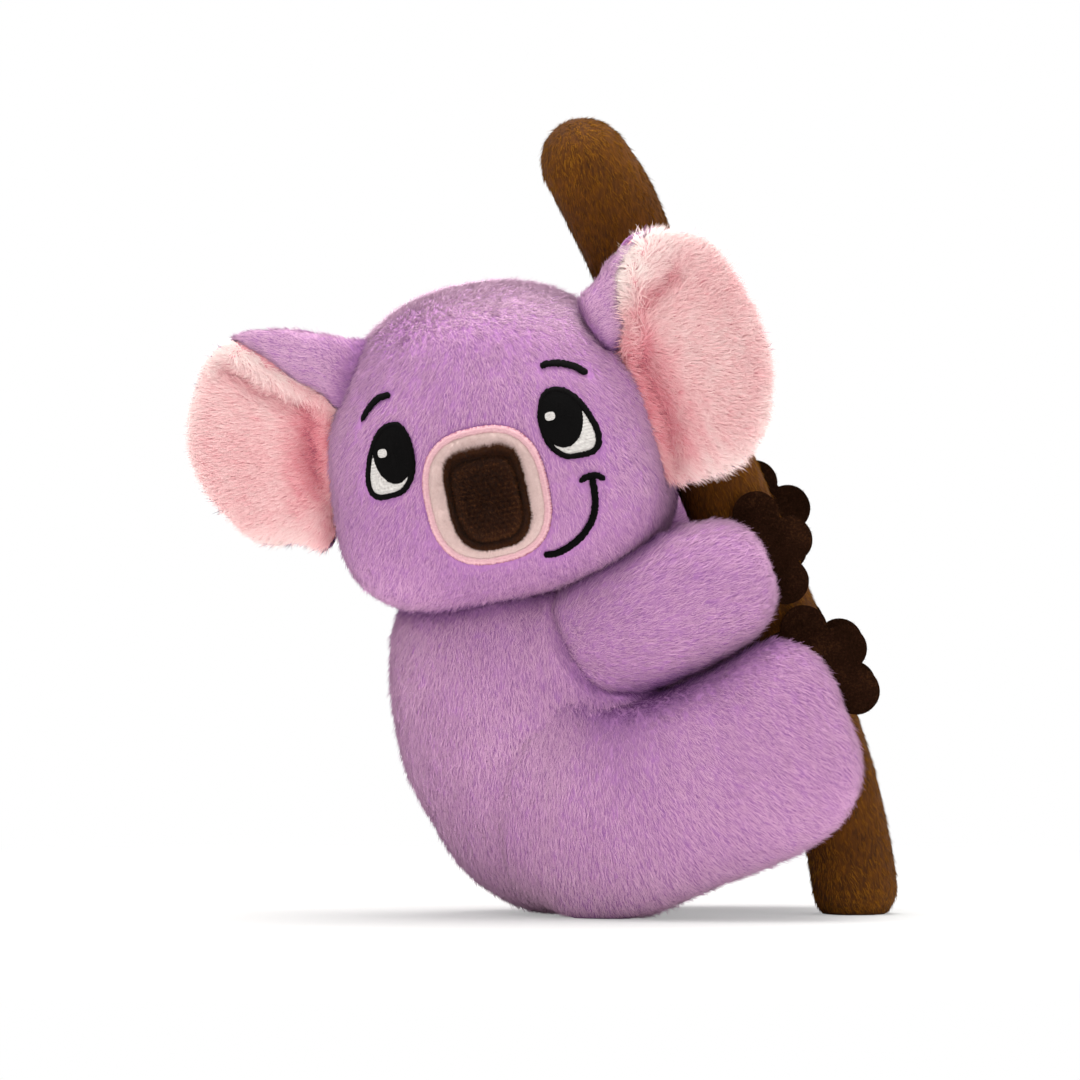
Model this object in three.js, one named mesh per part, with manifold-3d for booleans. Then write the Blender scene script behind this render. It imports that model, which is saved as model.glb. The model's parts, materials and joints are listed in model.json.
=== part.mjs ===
// A plush koala that hugs a stuffed branch.
// It sits on the flat of its seat with the foot of the branch as a prop. Millimetres, +Z up.
// The face looks towards -Y and the branch is at +X, so the koala's right side is at -Y and its
// left side at +Y. The origin is the middle of the base.

import * as THREE from "three";
import { mergeVertices } from "three/addons/utils/BufferGeometryUtils.js";
import Module from "manifold-3d";

const wasm = await Module();
wasm.setup();

const degrees = Math.PI / 180;
const sweepStep = 12.5 * degrees;
const grooveStep = 4 * degrees;
const right = -1;
const left = 1;

// Fits and cloth
const clearance = 0.3;
const floorCut = 0.5;
const plushWall = 3;
const overrun = 10;
const openingRadius = 9;

// Torso, an egg that leans back as it rises
const torsoHeight = 106;
const torsoHalfWidth = 45;
const torsoHalfDepth = 38;
const torsoLeanShare = 0.2;
const torsoSeatForward = 12;
const torsoSeatPower = 2.4;
const torsoNeckPower = 2.8;

// Head
const headHalfWidth = 49.5;
const headJowlExtra = 2.5;
const headHalfDepth = 44;
const headCrownHeight = 49;
const headJowlHeight = 47;
const headCrownPower = 2.15;
const headJowlPower = 3.3;
const headRoll = -12 * degrees;
const headTurn = -6.8 * degrees;
const headForward = 8;
const headBackSet = 4.2;
const headTurnRange = 15 * degrees;
const neckOverlap = 12.5;
const neckHoleRadius = 26;

// Muzzle and nose
const muzzleHalfWidth = 16.7;
const muzzleHalfHeight = 18.3;
const muzzleDrop = 13.6;
const muzzleBulge = 3;
const muzzleThick = 1.5;
const muzzlePower = 3;
const borderWidth = 2.6;
const borderThick = 2;
const noseHalfWidth = 12.8;
const noseHalfHeight = 15.6;
const noseThick = 2.6;
const nosePower = 3.6;
const noseTaperShare = 0.12;
const noseStitchInset = 2.7;
const noseStitchDepth = 0.9;

// Embroidery
const stitchThick = 0.9;
const stitchHalfWidth = 1.25;
const eyeAcross = 28;
const eyeUp = 2.3;
const eyeHalfWidth = 8.2;
const eyeHalfHeight = 11.2;
const eyeTilt = 12 * degrees;
const eyePower = 2.4;
const eyeRimWidth = 1.9;
const pupilHalfWidth = 5.4;
const pupilHalfHeight = 8.8;
const pupilInwards = 1.8;
const pupilUp = 1.6;
const highlightRadius = 1.4;
const highlightShare = 0.36;

// Ears
const earHalfWidth = 25;
const earRightHalfHeight = 34;
const earLeftHalfHeight = 38.5;
const earReach = 66;
const earRightRise = 11.4;
const earLeftRise = 16.5;
const earForward = 6;
const earCup = 7;
const earRootShare = 0.7;
const earBackThick = 5;
const earLiningThick = 8;
const earHingeInset = 4;
const earFoldRadius = 7;
const earFoldTipShare = 0.35;
const earFoldStart = 150 * degrees;
const earRightFoldEnd = 72 * degrees;
const earLeftFoldEnd = 108 * degrees;
const earRightTilt = 12 * degrees;
const earLeftTilt = 4 * degrees;
const earFlopRange = 20 * degrees;

// Branch
const branchRadius = 13;
const branchLength = 257.5;
const branchLean = 22 * degrees;
const branchPress = 3.8;
const branchFootBend = 11.5;
const branchTipBend = 4.5;
const branchFootShare = 0.3;
const branchTipShare = 0.22;

// Arms
const armHalfLength = 35;
const armHalfWidth = 21;
const armHalfThick = 17;
const armTilt = 25 * degrees;
const armEndPower = 3;
const armBehindPivot = 12;
const armTuck = 6;
const armHaunch = 0.5;
const armOpenRange = 25 * degrees;
const shoulderDrop = 24;
const shoulderForward = 19.6;
const leftArmLift = 9;

// Legs
const legHalfLength = 55;
const legHalfWidth = 30.3;
const legHalfThick = 19;
const legTilt = 20 * degrees;
const legEndPower = 2.8;
const legBehindPivot = 20;
const legTuck = 12;
const legHaunch = 6;
const legOpenRange = 12 * degrees;
const hipHeight = 26.9;
const hipForward = 5;

// Felt paws
const feltThick = 1.8;
const lobeRadius = 7;
const handBack = 4.2;
const handAcross = 2.9;
const handRing = 12.8;
const handSpread = 58 * degrees;
const handTurn = -1 * degrees;
const footBack = 13.5;
const footAcross = 17;
const footRing = 17;
const footSpread = 46 * degrees;
const footTurn = 20 * degrees;
const leftFootLift = 1.5;

// Strokes of thread, as shares of the head's half width and of its height above or below
const browShares = [[0.47, 0.412], [0.535, 0.432], [0.6, 0.412], [0.66, 0.368], [0.72, 0.31]];
const smileShares = [
  [0.25, -0.73], [0.36, -0.723], [0.475, -0.66], [0.565, -0.56], [0.612, -0.455], [0.612, -0.325],
];
const cheekShares = [[0.54, -0.315], [0.61, -0.3], [0.68, -0.34]];

const finishes = {
  lilac: "#bd8cc0",
  pink: "#f0b4b8",
  bark: "#6a4014",
  felt: "#2c1a12",
  cream: "#e2c9c2",
  rose: "#e3a9b3",
  nose: "#3a2012",
  black: "#0b0a0b",
  white: "#e6e4e2",
  filling: "#f4f2ee",
};

const cloth = (color) => new THREE.MeshStandardMaterial({ color, roughness: 0.95, metalness: 0 });

// Solids

const identity = new THREE.Matrix4();

// The closed solid of a geometry, placed by a matrix. Faces without area are left out.
function solidOf(geometry, matrix = identity) {
  const bare = geometry.clone();
  bare.deleteAttribute("normal");
  bare.deleteAttribute("uv");
  bare.applyMatrix4(matrix);
  const merged = mergeVertices(bare, 1e-3);
  const corners = merged.index.array;
  const kept = [];
  for (let i = 0; i < corners.length; i += 3) {
    const [a, b, c] = [corners[i], corners[i + 1], corners[i + 2]];
    if (a !== b && b !== c && c !== a) kept.push(a, b, c);
  }
  const vertProperties = merged.attributes.position.array;
  const triVerts = new Uint32Array(kept);
  const made = () => new wasm.Manifold(new wasm.Mesh({ numProp: 3, vertProperties, triVerts }));
  const first = made();
  if (first.volume() > 0) return first;
  triVerts.reverse();
  return made();
}

function geometryOf(solid) {
  const { numProp, vertProperties, triVerts, numVert } = solid.getMesh();
  const places = new Float32Array(numVert * 3);
  for (let i = 0; i < numVert; i++) {
    places.set(vertProperties.subarray(i * numProp, i * numProp + 3), i * 3);
  }
  return new THREE.BufferGeometry()
    .setAttribute("position", new THREE.BufferAttribute(places, 3))
    .setIndex(new THREE.BufferAttribute(triVerts, 1));
}

const joined = (solids) => solids.reduce((all, solid) => all.add(solid));

// Moves every vertex of a geometry by a rule.
function shaped(geometry, rule) {
  const places = geometry.attributes.position;
  for (let i = 0; i < places.count; i++) {
    const point = new THREE.Vector3().fromBufferAttribute(places, i);
    places.setXYZ(i, ...rule(point).toArray());
  }
  return geometry;
}

// Unit spheres with their poles on the X axis or on the Z axis.
const ballAlongX = ([around, rings]) =>
  new THREE.SphereGeometry(1, around, rings).rotateZ(-Math.PI / 2);
const ballAlongZ = ([around, rings]) =>
  new THREE.SphereGeometry(1, around, rings).rotateX(Math.PI / 2);

// How many faces a form has around it and from end to end: outside, and inside or as a cutter.
const bodyOutside = [26, 17];
const bodyInside = [16, 10];
const limbOutside = [18, 12];
const limbInside = [12, 8];
const earOutside = [18, 11];

// How wide a rounded form is, as a share, at a share of its half length from its middle.
const swell = (share, power) => (1 - Math.min(1, Math.abs(share)) ** power) ** (1 / power);

// The direction across a ring, with no length at the poles.
function acrossRing(a, b) {
  const length = Math.hypot(a, b) || 1;
  return [a / length, b / length];
}

// The angles that a joint's clearance is cut for, from one limit to the other.
function steps(from, to, step = sweepStep) {
  const count = Math.ceil((to - from) / step);
  return Array.from({ length: count + 1 }, (_, i) => from + ((to - from) * i) / count);
}

// Torso

function torsoForm(grow, detail) {
  const halfHeight = torsoHeight / 2;
  return shaped(ballAlongZ(detail), ({ x, y, z }) => {
    const [acrossX, acrossY] = acrossRing(x, y);
    const width = swell(z, z > 0 ? torsoNeckPower : torsoSeatPower);
    const height = halfHeight - floorCut + (halfHeight + grow) * z;
    return new THREE.Vector3(
      torsoSeatForward - torsoLeanShare * height + (torsoHalfWidth + grow) * width * acrossX,
      (torsoHalfDepth + grow) * width * acrossY,
      height,
    );
  });
}

const torsoMiddleAt = (height) => torsoSeatForward - torsoLeanShare * height;

// Head

const headHeight = torsoHeight - neckOverlap + headJowlHeight;
const headFrame = new THREE.Matrix4()
  .makeRotationY(headRoll)
  .multiply(new THREE.Matrix4().makeRotationZ(headTurn))
  .setPosition(torsoMiddleAt(torsoHeight) - headBackSet, -headForward, headHeight);

const turnedHead = (angle) =>
  headFrame.clone().multiply(new THREE.Matrix4().makeRotationZ(-angle));

// The head's outline is round at the crown and full at the jowls.
function headOutlineAt(z) {
  const { smoothstep, lerp } = THREE.MathUtils;
  const share = smoothstep(z, -headJowlHeight * 0.7, headCrownHeight * 0.5);
  return {
    power: lerp(headJowlPower, headCrownPower, share),
    halfWidth: headHalfWidth + lerp(headJowlExtra, 0, share),
    halfHeight: z > 0 ? headCrownHeight : headJowlHeight,
  };
}

// How much further than the plain form the head reaches at the muzzle, as a share of its depth.
function muzzleSwell(x, z) {
  const across = x / (muzzleHalfWidth * 1.3);
  const up = (z + muzzleDrop) / (muzzleHalfHeight * 1.3);
  return 1 + (muzzleBulge / headHalfDepth) * Math.exp(-across * across - up * up);
}

// How far the head reaches before its middle plane, at a place across and up the face.
function faceDepth(x, z) {
  const { power, halfWidth, halfHeight } = headOutlineAt(z);
  const rest = 1 - Math.abs(x / halfWidth) ** power - Math.abs(z / halfHeight) ** power;
  return headHalfDepth * Math.max(0, rest) ** (1 / power) * muzzleSwell(x, z);
}

// The distance from the head's middle to its plain surface in one direction.
function headReach(direction, grow) {
  let near = 0;
  let far = 2 * Math.max(headHalfWidth, headCrownHeight);
  for (let step = 0; step < 24; step++) {
    const middle = (near + far) / 2;
    const { x, y, z } = direction.clone().multiplyScalar(middle);
    const { power, halfWidth, halfHeight } = headOutlineAt(z);
    const sum = Math.abs(x / (halfWidth + grow)) ** power
      + Math.abs(y / (headHalfDepth + grow)) ** power
      + Math.abs(z / (halfHeight + grow)) ** power;
    if (sum < 1) near = middle;
    else far = middle;
  }
  return near;
}

function headForm(grow, detail) {
  return shaped(ballAlongZ(detail), (direction) => {
    const point = direction.normalize().multiplyScalar(headReach(direction, grow));
    if (point.y < 0) point.y *= muzzleSwell(point.x, point.z);
    return point;
  });
}

// Branch

const branchUp = new THREE.Vector3(-Math.sin(branchLean), 0, Math.cos(branchLean));
const branchAside = new THREE.Vector3(Math.cos(branchLean), 0, Math.sin(branchLean));
const branchBase = (() => {
  const beside = new THREE.Vector3().setFromMatrixPosition(headFrame).setY(0);
  beside.addScaledVector(branchAside, headHalfWidth + branchRadius - branchPress);
  return beside.addScaledVector(branchUp, -beside.z / branchUp.z);
})();

// The branch's middle line, as a share of its length from its foot to its tip.
function branchPoint(share) {
  const foot = -branchFootBend * Math.max(0, 1 - share / branchFootShare) ** 2;
  const tip = -branchTipBend * Math.max(0, 1 - (1 - share) / branchTipShare) ** 2;
  return branchBase
    .clone()
    .addScaledVector(branchUp, branchLength * share)
    .addScaledVector(branchAside, foot + tip);
}

// The foot's lowest point is half a millimetre under the floor, where it is cut flat.
function branchForm(grow, [around, rings]) {
  const straight = branchLength - 2 * branchRadius;
  const capsule = new THREE.CapsuleGeometry(branchRadius + grow, straight, 4, around, rings);
  const placed = shaped(capsule.rotateX(Math.PI / 2), ({ x, y, z }) => {
    const share = (z + branchLength / 2) / branchLength;
    const along = branchPoint(share + 0.01).sub(branchPoint(share - 0.01)).normalize();
    return branchPoint(share).add(new THREE.Vector3(along.z * x, y, -along.x * x));
  });
  return placed.translate(0, 0, -floorCut);
}

const branchOutside = [16, 14];
const branchInside = [10, 9];

// Arms and legs

const gripDepth = branchRadius + 2 * clearance + feltThick;

// A limb's own frame has +X along the limb, +Z across it and its pivot at the origin.
function limbOf(side, sizes) {
  const { height, forward, depth, tilt } = sizes;
  const frame = new THREE.Matrix4()
    .makeRotationY(-tilt)
    .setPosition(torsoMiddleAt(height) + forward, side * depth, height);
  return { side, frame, ...sizes };
}

const armOf = (side) => limbOf(side, {
  height: torsoHeight - shoulderDrop + (side === left ? leftArmLift : 0),
  forward: shoulderForward + (side === left ? leftArmLift * torsoLeanShare : 0),
  depth: torsoHalfDepth - plushWall,
  tilt: armTilt,
  halfLength: armHalfLength,
  halfWidth: armHalfWidth,
  halfThick: armHalfThick,
  power: armEndPower,
  behind: armBehindPivot,
  tuck: armTuck,
  haunch: armHaunch,
  range: armOpenRange,
  paw: { back: handBack, across: handAcross, ring: handRing, spread: handSpread, turn: handTurn },
});

const legOf = (side) => limbOf(side, {
  height: hipHeight,
  forward: hipForward,
  depth: torsoHalfDepth - plushWall,
  tilt: legTilt,
  halfLength: legHalfLength,
  halfWidth: legHalfWidth,
  halfThick: legHalfThick,
  power: legEndPower,
  behind: legBehindPivot,
  tuck: legTuck,
  haunch: legHaunch,
  range: legOpenRange,
  paw: {
    back: footBack,
    across: footAcross + (side === left ? leftFootLift : 0),
    ring: footRing,
    spread: footSpread,
    turn: footTurn,
  },
});

// The limb swells to a rounded end at the branch. Its other end is deeper and tucks into the torso.
function limbForm(limb, grow, detail) {
  const { side, halfLength, halfWidth, halfThick, power, behind, tuck, haunch, depth } = limb;
  return shaped(ballAlongX(detail), ({ x, y, z }) => {
    const [acrossY, acrossZ] = acrossRing(y, z);
    const rear = Math.max(0, -x);
    const middle = gripDepth + halfThick - depth - tuck * rear * rear;
    const wide = (halfWidth + haunch * rear + grow) * swell(x, power);
    const thick = (halfThick + grow) * swell(x, x > 0 ? power : 2);
    return new THREE.Vector3(
      halfLength - behind + (halfLength + grow) * x,
      side * middle + thick * acrossY,
      wide * acrossZ,
    );
  });
}

// The limb's frame when it has opened away from the branch by an angle.
const openedLimb = ({ frame, side }, angle) =>
  frame.clone().multiply(new THREE.Matrix4().makeRotationZ(side * angle));

// What the torso, the head and, for an arm, the leg take from a limb, whatever way they all turn.
function limbCutter(limb, legs, grow, inside) {
  const [bodyDetail, limbDetail] = inside ? [bodyInside, limbInside] : [bodyOutside, limbOutside];
  const cutters = [];
  for (const opened of steps(0, limb.range)) {
    const toLimb = openedLimb(limb, opened).invert();
    cutters.push(solidOf(torsoForm(grow, bodyDetail), toLimb));
    for (const leg of legs) {
      for (const angle of [0, leg.range]) {
        const place = toLimb.clone().multiply(openedLimb(leg, angle));
        cutters.push(solidOf(limbForm(leg, grow, limbDetail), place));
      }
    }
    if (!legs.length) continue;
    for (const angle of [0, headTurnRange]) {
      const place = toLimb.clone().multiply(turnedHead(angle));
      cutters.push(solidOf(headForm(grow, bodyDetail), place));
    }
  }
  return joined(cutters);
}

// A three-lobed paw seen square on, from a formula for the reach of its edge at each angle.
function pawShape({ ring, spread, turn }) {
  const points = [];
  const count = 54;
  for (let i = 0; i < count; i++) {
    const angle = (2 * Math.PI * i) / count;
    let reach = ring;
    for (const lobe of [-1, 0, 1]) {
      const off = angle - turn - lobe * spread;
      const inside = lobeRadius ** 2 - (ring * Math.sin(off)) ** 2;
      if (inside > 0 && Math.cos(off) > 0) {
        reach = Math.max(reach, ring * Math.cos(off) + Math.sqrt(inside));
      }
    }
    points.push(new THREE.Vector2(reach * Math.cos(angle), reach * Math.sin(angle)));
  }
  return new THREE.Shape(points);
}

function pawGeometry({ side, halfLength, behind, depth, paw }) {
  const sheet = new THREE.ExtrudeGeometry(pawShape(paw), { depth: feltThick, bevelEnabled: false });
  const middle = side * (branchRadius + clearance + feltThick / 2 - depth);
  return sheet
    .translate(0, 0, -feltThick / 2)
    .rotateX(Math.PI / 2)
    .translate(2 * halfLength - behind - paw.back, middle, paw.across);
}

// Ears

// An ear's own frame has +X out from the head and its hinge at the origin.
function earOf({ side, tilt, rise, halfHeight, foldEnd, range }) {
  const out = headHalfWidth - earHingeInset;
  const frame = new THREE.Matrix4()
    .makeTranslation(side * out, -earForward, rise)
    .multiply(new THREE.Matrix4().makeRotationY(tilt))
    .multiply(new THREE.Matrix4().makeScale(side, 1, 1));
  return { side, frame, halfHeight, foldEnd, range, middle: earReach - out };
}

// How far forward the ear's cupped middle sheet is, at shares of its half width and half height.
const earCupAt = (x, z) => -earCup * (x * x + z * z);

// How full the ear's outline is towards its root, which is sewn on over most of its height.
const earFullAt = (x) => (x < 0 ? 1 + earRootShare * x * x : 1);

// A cushion with one side on the ear's middle sheet, and the other standing off from it.
function earLayer({ middle, halfHeight }, inset, gap, thick) {
  return shaped(ballAlongZ(earOutside), ({ x, y, z }) => {
    const stand = y * thick > 0 ? gap + Math.abs(y * thick) : gap;
    const offset = thick > 0 ? stand : -stand;
    return new THREE.Vector3(
      middle + (earHalfWidth - inset) * x,
      earCupAt(x, z) + offset,
      (halfHeight - inset) * z * earFullAt(x),
    );
  });
}

// The back cloth turned over the ear's top edge, thick at the head and thin at its end.
function earFold({ middle, halfHeight, foldEnd }, grow) {
  return shaped(ballAlongX([10, 8]), ({ x, y, z }) => {
    const [acrossY, acrossZ] = acrossRing(y, z);
    const share = (x + 1) / 2;
    const angle = THREE.MathUtils.lerp(earFoldStart, foldEnd, share);
    const thin = THREE.MathUtils.lerp(1, earFoldTipShare, share);
    const radius = (earFoldRadius * thin + grow) * swell(x, 3);
    const out = 1 - (earFoldRadius * thin) / halfHeight;
    const ring = radius * acrossZ;
    return new THREE.Vector3(
      middle + (earHalfWidth * out + ring) * Math.cos(angle),
      -earCup * out * out + radius * acrossY,
      (halfHeight * out + ring) * Math.sin(angle) * earFullAt(Math.cos(angle)),
    );
  });
}

// What the head takes from an ear, however it flops.
function earCutter({ side, frame, range }, grow) {
  return joined(steps(...range).map((angle) => {
    const turned = frame.clone().multiply(new THREE.Matrix4().makeRotationZ(-angle));
    return solidOf(headForm(grow, bodyOutside), turned.invert());
  }));
}

// Face

// A raised patch that follows the face. Its rows go outwards and its columns go along.
function facePatch(rows, columns, spot, lift, thick) {
  const places = [];
  const index = [];
  const sheet = (rows + 1) * (columns + 1);
  const at = (side, row, column) => side * sheet + row * (columns + 1) + column;
  for (const side of [0, 1]) {
    for (let row = 0; row <= rows; row++) {
      for (let column = 0; column <= columns; column++) {
        const [x, z] = spot(row / rows, column / columns);
        const raise = lift + side * thick(row / rows);
        places.push(x, -faceDepth(x, z) - raise, z);
      }
    }
  }
  const quad = (a, b, c, d) => index.push(a, b, c, a, c, d);
  for (let row = 0; row < rows; row++) {
    for (let column = 0; column < columns; column++) {
      const corners = [[row, column], [row + 1, column], [row + 1, column + 1], [row, column + 1]];
      quad(...corners.map(([r, c]) => at(1, r, c)));
      quad(...corners.reverse().map(([r, c]) => at(0, r, c)));
    }
  }
  for (let column = 0; column < columns; column++) {
    quad(at(0, 0, column), at(1, 0, column), at(1, 0, column + 1), at(0, 0, column + 1));
    quad(at(0, rows, column + 1), at(1, rows, column + 1), at(1, rows, column), at(0, rows, column));
  }
  const [first, last] = [spot(1, 0), spot(1, 1)];
  if (Math.hypot(first[0] - last[0], first[1] - last[1]) > clearance) {
    for (let row = 0; row < rows; row++) {
      quad(at(0, row + 1, 0), at(1, row + 1, 0), at(1, row, 0), at(0, row, 0));
      quad(
        at(0, row, columns),
        at(1, row, columns),
        at(1, row + 1, columns),
        at(0, row + 1, columns),
      );
    }
  }
  return solidOf(new THREE.BufferGeometry()
    .setAttribute("position", new THREE.Float32BufferAttribute(places, 3))
    .setIndex(index));
}

// A rounded outline around a middle, turned by a tilt, at a share of the way out from it.
function rounded({ x, z, halfWidth, halfHeight, power, tilt = 0, taper = 0 }, grow, share, around) {
  const angle = 2 * Math.PI * around;
  const [c, s] = [Math.cos(angle), Math.sin(angle)];
  const reach = share / (Math.abs(c) ** power + Math.abs(s) ** power) ** (1 / power);
  const across = (halfWidth + grow) * reach * c * (1 + taper * s);
  const up = (halfHeight + grow) * reach * s;
  return [
    x + across * Math.cos(tilt) - up * Math.sin(tilt),
    z + across * Math.sin(tilt) + up * Math.cos(tilt),
  ];
}

const disc = (outline, grow, lift, thick, rows = 3, columns = 28) =>
  facePatch(rows, columns, (share, around) => rounded(outline, grow, share, around), lift, thick);

function rim(outline, width, lift, thick, columns = 26) {
  const spot = (share, around) => rounded(outline, (share - 1) * width, 1, around);
  return facePatch(1, columns, spot, lift, thick);
}

// A stroke of satin stitch along a smooth line, which narrows at its ends.
function stroke(shares, side, endShare) {
  const line = new THREE.CatmullRomCurve3(shares.map(([x, z]) => new THREE.Vector3(
    side * x * headHalfWidth,
    0,
    z * (z > 0 ? headCrownHeight : headJowlHeight),
  )));
  const spot = (across, along) => {
    const { x, z } = line.getPoint(along);
    const way = line.getTangent(along);
    const width = THREE.MathUtils.lerp(endShare, 1, Math.sin(Math.PI * along) ** 0.5);
    const offset = (across * 2 - 1) * stitchHalfWidth * width;
    return [x - way.z * offset, z + way.x * offset];
  };
  return facePatch(1, 10, spot, clearance, () => stitchThick);
}

const even = (thick) => () => thick;

// The nose is a cushion with a stitched line sunk into it along its edge.
function noseThickAt(share) {
  const line = 1 - noseStitchInset / noseHalfWidth;
  const sunk = Math.max(0, 1 - Math.abs(share - line) / (1 - line));
  return noseThick * (1 - 0.35 * share ** 4) - noseStitchDepth * sunk;
}

// Build

const toy = new THREE.Group();

function group(parent, matrix = identity) {
  const made = new THREE.Group();
  made.applyMatrix4(matrix);
  parent.add(made);
  return made;
}

function add(parent, name, solid, color) {
  const mesh = new THREE.Mesh(geometryOf(solid), cloth(color));
  mesh.name = name;
  parent.add(mesh);
}

const floor = solidOf(
  new THREE.BoxGeometry(2 * branchLength, 2 * branchLength, overrun).translate(0, 0, -overrun / 2),
);

// A cloth skin with an opening, round its filling. bodyAt gives the form at a depth under it.
function addStuffed(parent, name, bodyAt, opening, color) {
  const cavity = joined([bodyAt(plushWall, true), ...opening]);
  add(parent, name + "_skin", bodyAt(0, false).subtract(cavity), color);
  add(parent, name + "_filling", bodyAt(plushWall + clearance, true), finishes.filling);
}

// Torso: the head sits in its top.
const neckHole = (height, frame) => solidOf(
  new THREE.CylinderGeometry(neckHoleRadius, neckHoleRadius, height, 20).rotateX(Math.PI / 2),
  frame,
);

function torsoAt(depth, inside) {
  const detail = inside ? bodyInside : bodyOutside;
  const body = solidOf(torsoForm(-depth, detail));
  const seats = steps(0, headTurnRange)
    .map((angle) => solidOf(headForm(clearance + depth, detail), turnedHead(angle)));
  return body.subtract(joined(seats)).subtract(floor);
}

const neckTop = new THREE.Matrix4().makeTranslation(
  torsoMiddleAt(torsoHeight), 0, torsoHeight - neckOverlap,
);
addStuffed(toy, "torso", torsoAt, [neckHole(2 * overrun, neckTop)], finishes.lilac);

// Head: the branch presses into its side.
function headAt(depth, inside) {
  const body = solidOf(headForm(-depth, inside ? bodyInside : bodyOutside));
  const grooves = steps(0, headTurnRange, grooveStep).map((angle) => solidOf(
    branchForm(clearance + depth, inside ? branchInside : branchOutside),
    turnedHead(angle).invert(),
  ));
  return body.subtract(joined(grooves));
}

const head = group(toy, headFrame);
const chin = new THREE.Matrix4().makeTranslation(0, 0, -headJowlHeight);
addStuffed(head, "head", headAt, [neckHole(headJowlHeight, chin)], finishes.lilac);

// Face
const muzzle = {
  x: 0,
  z: -muzzleDrop,
  halfWidth: muzzleHalfWidth,
  halfHeight: muzzleHalfHeight,
  power: muzzlePower,
};
const nose = {
  ...muzzle,
  halfWidth: noseHalfWidth,
  halfHeight: noseHalfHeight,
  power: nosePower,
  taper: noseTaperShare,
};
const border = {
  ...muzzle,
  halfWidth: muzzleHalfWidth + clearance + borderWidth,
  halfHeight: muzzleHalfHeight + clearance + borderWidth,
};
add(head, "muzzle_patch", disc(muzzle, 0, clearance, even(muzzleThick), 3, 26), finishes.cream);
add(head, "muzzle_border", rim(border, borderWidth, clearance, even(borderThick)), finishes.rose);
add(head, "nose", disc(nose, 0, 2 * clearance + muzzleThick, noseThickAt, 6, 24), finishes.nose);

for (const side of [right, left]) {
  const hand = side === right ? "right" : "left";
  const tilt = side * eyeTilt;
  const eye = {
    x: side * eyeAcross,
    z: eyeUp,
    halfWidth: eyeHalfWidth,
    halfHeight: eyeHalfHeight,
    power: eyePower,
    tilt,
  };
  const pupil = {
    ...eye,
    x: eye.x - side * pupilInwards,
    z: eye.z + pupilUp,
    halfWidth: pupilHalfWidth,
    halfHeight: pupilHalfHeight,
    power: 2,
  };
  const highlight = {
    ...pupil,
    x: pupil.x - highlightShare * pupilHalfWidth,
    halfWidth: highlightRadius,
    halfHeight: highlightRadius,
  };
  const layer = (outline, grow, rows, columns) =>
    disc(outline, grow, clearance, even(stitchThick), rows, columns);
  const cut = (outline, grow) => disc(outline, grow, -overrun, even(3 * overrun), 1, 16);
  const within = -eyeRimWidth - clearance;
  add(head, `eye_rim_${hand}`, rim(eye, eyeRimWidth, clearance, even(stitchThick)), finishes.black);
  const ball = layer(eye, within, 2, 22);
  add(head, `eye_white_${hand}`, ball.subtract(cut(pupil, clearance)), finishes.white);
  const dark = ball.intersect(cut(pupil, 0)).subtract(cut(highlight, clearance));
  add(head, `pupil_${hand}`, dark, finishes.black);
  add(head, `eye_highlight_${hand}`, layer(highlight, 0, 1, 10), finishes.white);
  add(head, `brow_${hand}`, stroke(browShares, side, 0.6), finishes.black);
}
const smile = stroke(smileShares, left, 0.8).add(stroke(cheekShares, left, 0.8));
add(head, "smile", smile, finishes.black);

// Ears: a lilac back that turns over at the top, and a long-haired pink lining.
const ears = [
  earOf({
    side: right,
    tilt: earRightTilt,
    rise: earRightRise,
    halfHeight: earRightHalfHeight,
    foldEnd: earRightFoldEnd,
    range: [-earFlopRange, earFlopRange],
  }),
  earOf({
    side: left,
    tilt: earLeftTilt,
    rise: earLeftRise,
    halfHeight: earLeftHalfHeight,
    foldEnd: earLeftFoldEnd,
    range: [0, earFlopRange],
  }),
];
for (const ear of ears) {
  const name = ear.side === right ? "ear_right" : "ear_left";
  const place = group(head, ear.frame);
  const cutter = earCutter(ear, clearance);
  const fold = solidOf(earFold(ear, 0));
  const back = solidOf(earLayer(ear, 0, 0, earBackThick)).add(fold);
  const soft = solidOf(earLayer(ear, plushWall, clearance, -earLiningThick));
  add(place, `${name}_back`, back.subtract(cutter), finishes.lilac);
  const lining = soft.subtract(solidOf(earFold(ear, clearance))).subtract(cutter);
  add(place, `${name}_lining`, lining, finishes.pink);
}

// Arms and legs, with a felt paw each on the branch
const rightLeg = legOf(right);
const leftLeg = legOf(left);
const limbs = [
  ["arm_right", "hand_right", armOf(right), [rightLeg]],
  ["arm_left", "hand_left", armOf(left), [leftLeg]],
  ["leg_right", "foot_right", rightLeg, []],
  ["leg_left", "foot_left", leftLeg, []],
];
for (const [name, paw, limb, under] of limbs) {
  const place = group(toy, limb.frame);
  const toLimb = limb.frame.clone().invert();
  const limbAt = (depth, inside) =>
    solidOf(limbForm(limb, -depth, inside ? limbInside : limbOutside))
      .subtract(limbCutter(limb, under, clearance + depth, inside))
      .subtract(solidOf(geometryOf(floor), toLimb));
  const hole = new THREE.CylinderGeometry(openingRadius, openingRadius, limb.depth, 14);
  hole.translate(0, limb.side * (limb.halfThick / 5 - limb.depth / 2), 0);
  addStuffed(place, name, limbAt, [solidOf(hole)], finishes.lilac);
  add(place, `${paw}_felt`, solidOf(pawGeometry(limb)), finishes.felt);
}

// Branch: stuffed through its foot.
const branchAt = (depth, inside) =>
  solidOf(branchForm(-depth, inside ? branchInside : branchOutside)).subtract(floor);
const footHole = new THREE.CylinderGeometry(plushWall, plushWall, 2 * overrun, 12)
  .rotateX(Math.PI / 2)
  .translate(...branchPoint(0).toArray());
addStuffed(toy, "branch", branchAt, [solidOf(footHole)], finishes.bark);

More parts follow.
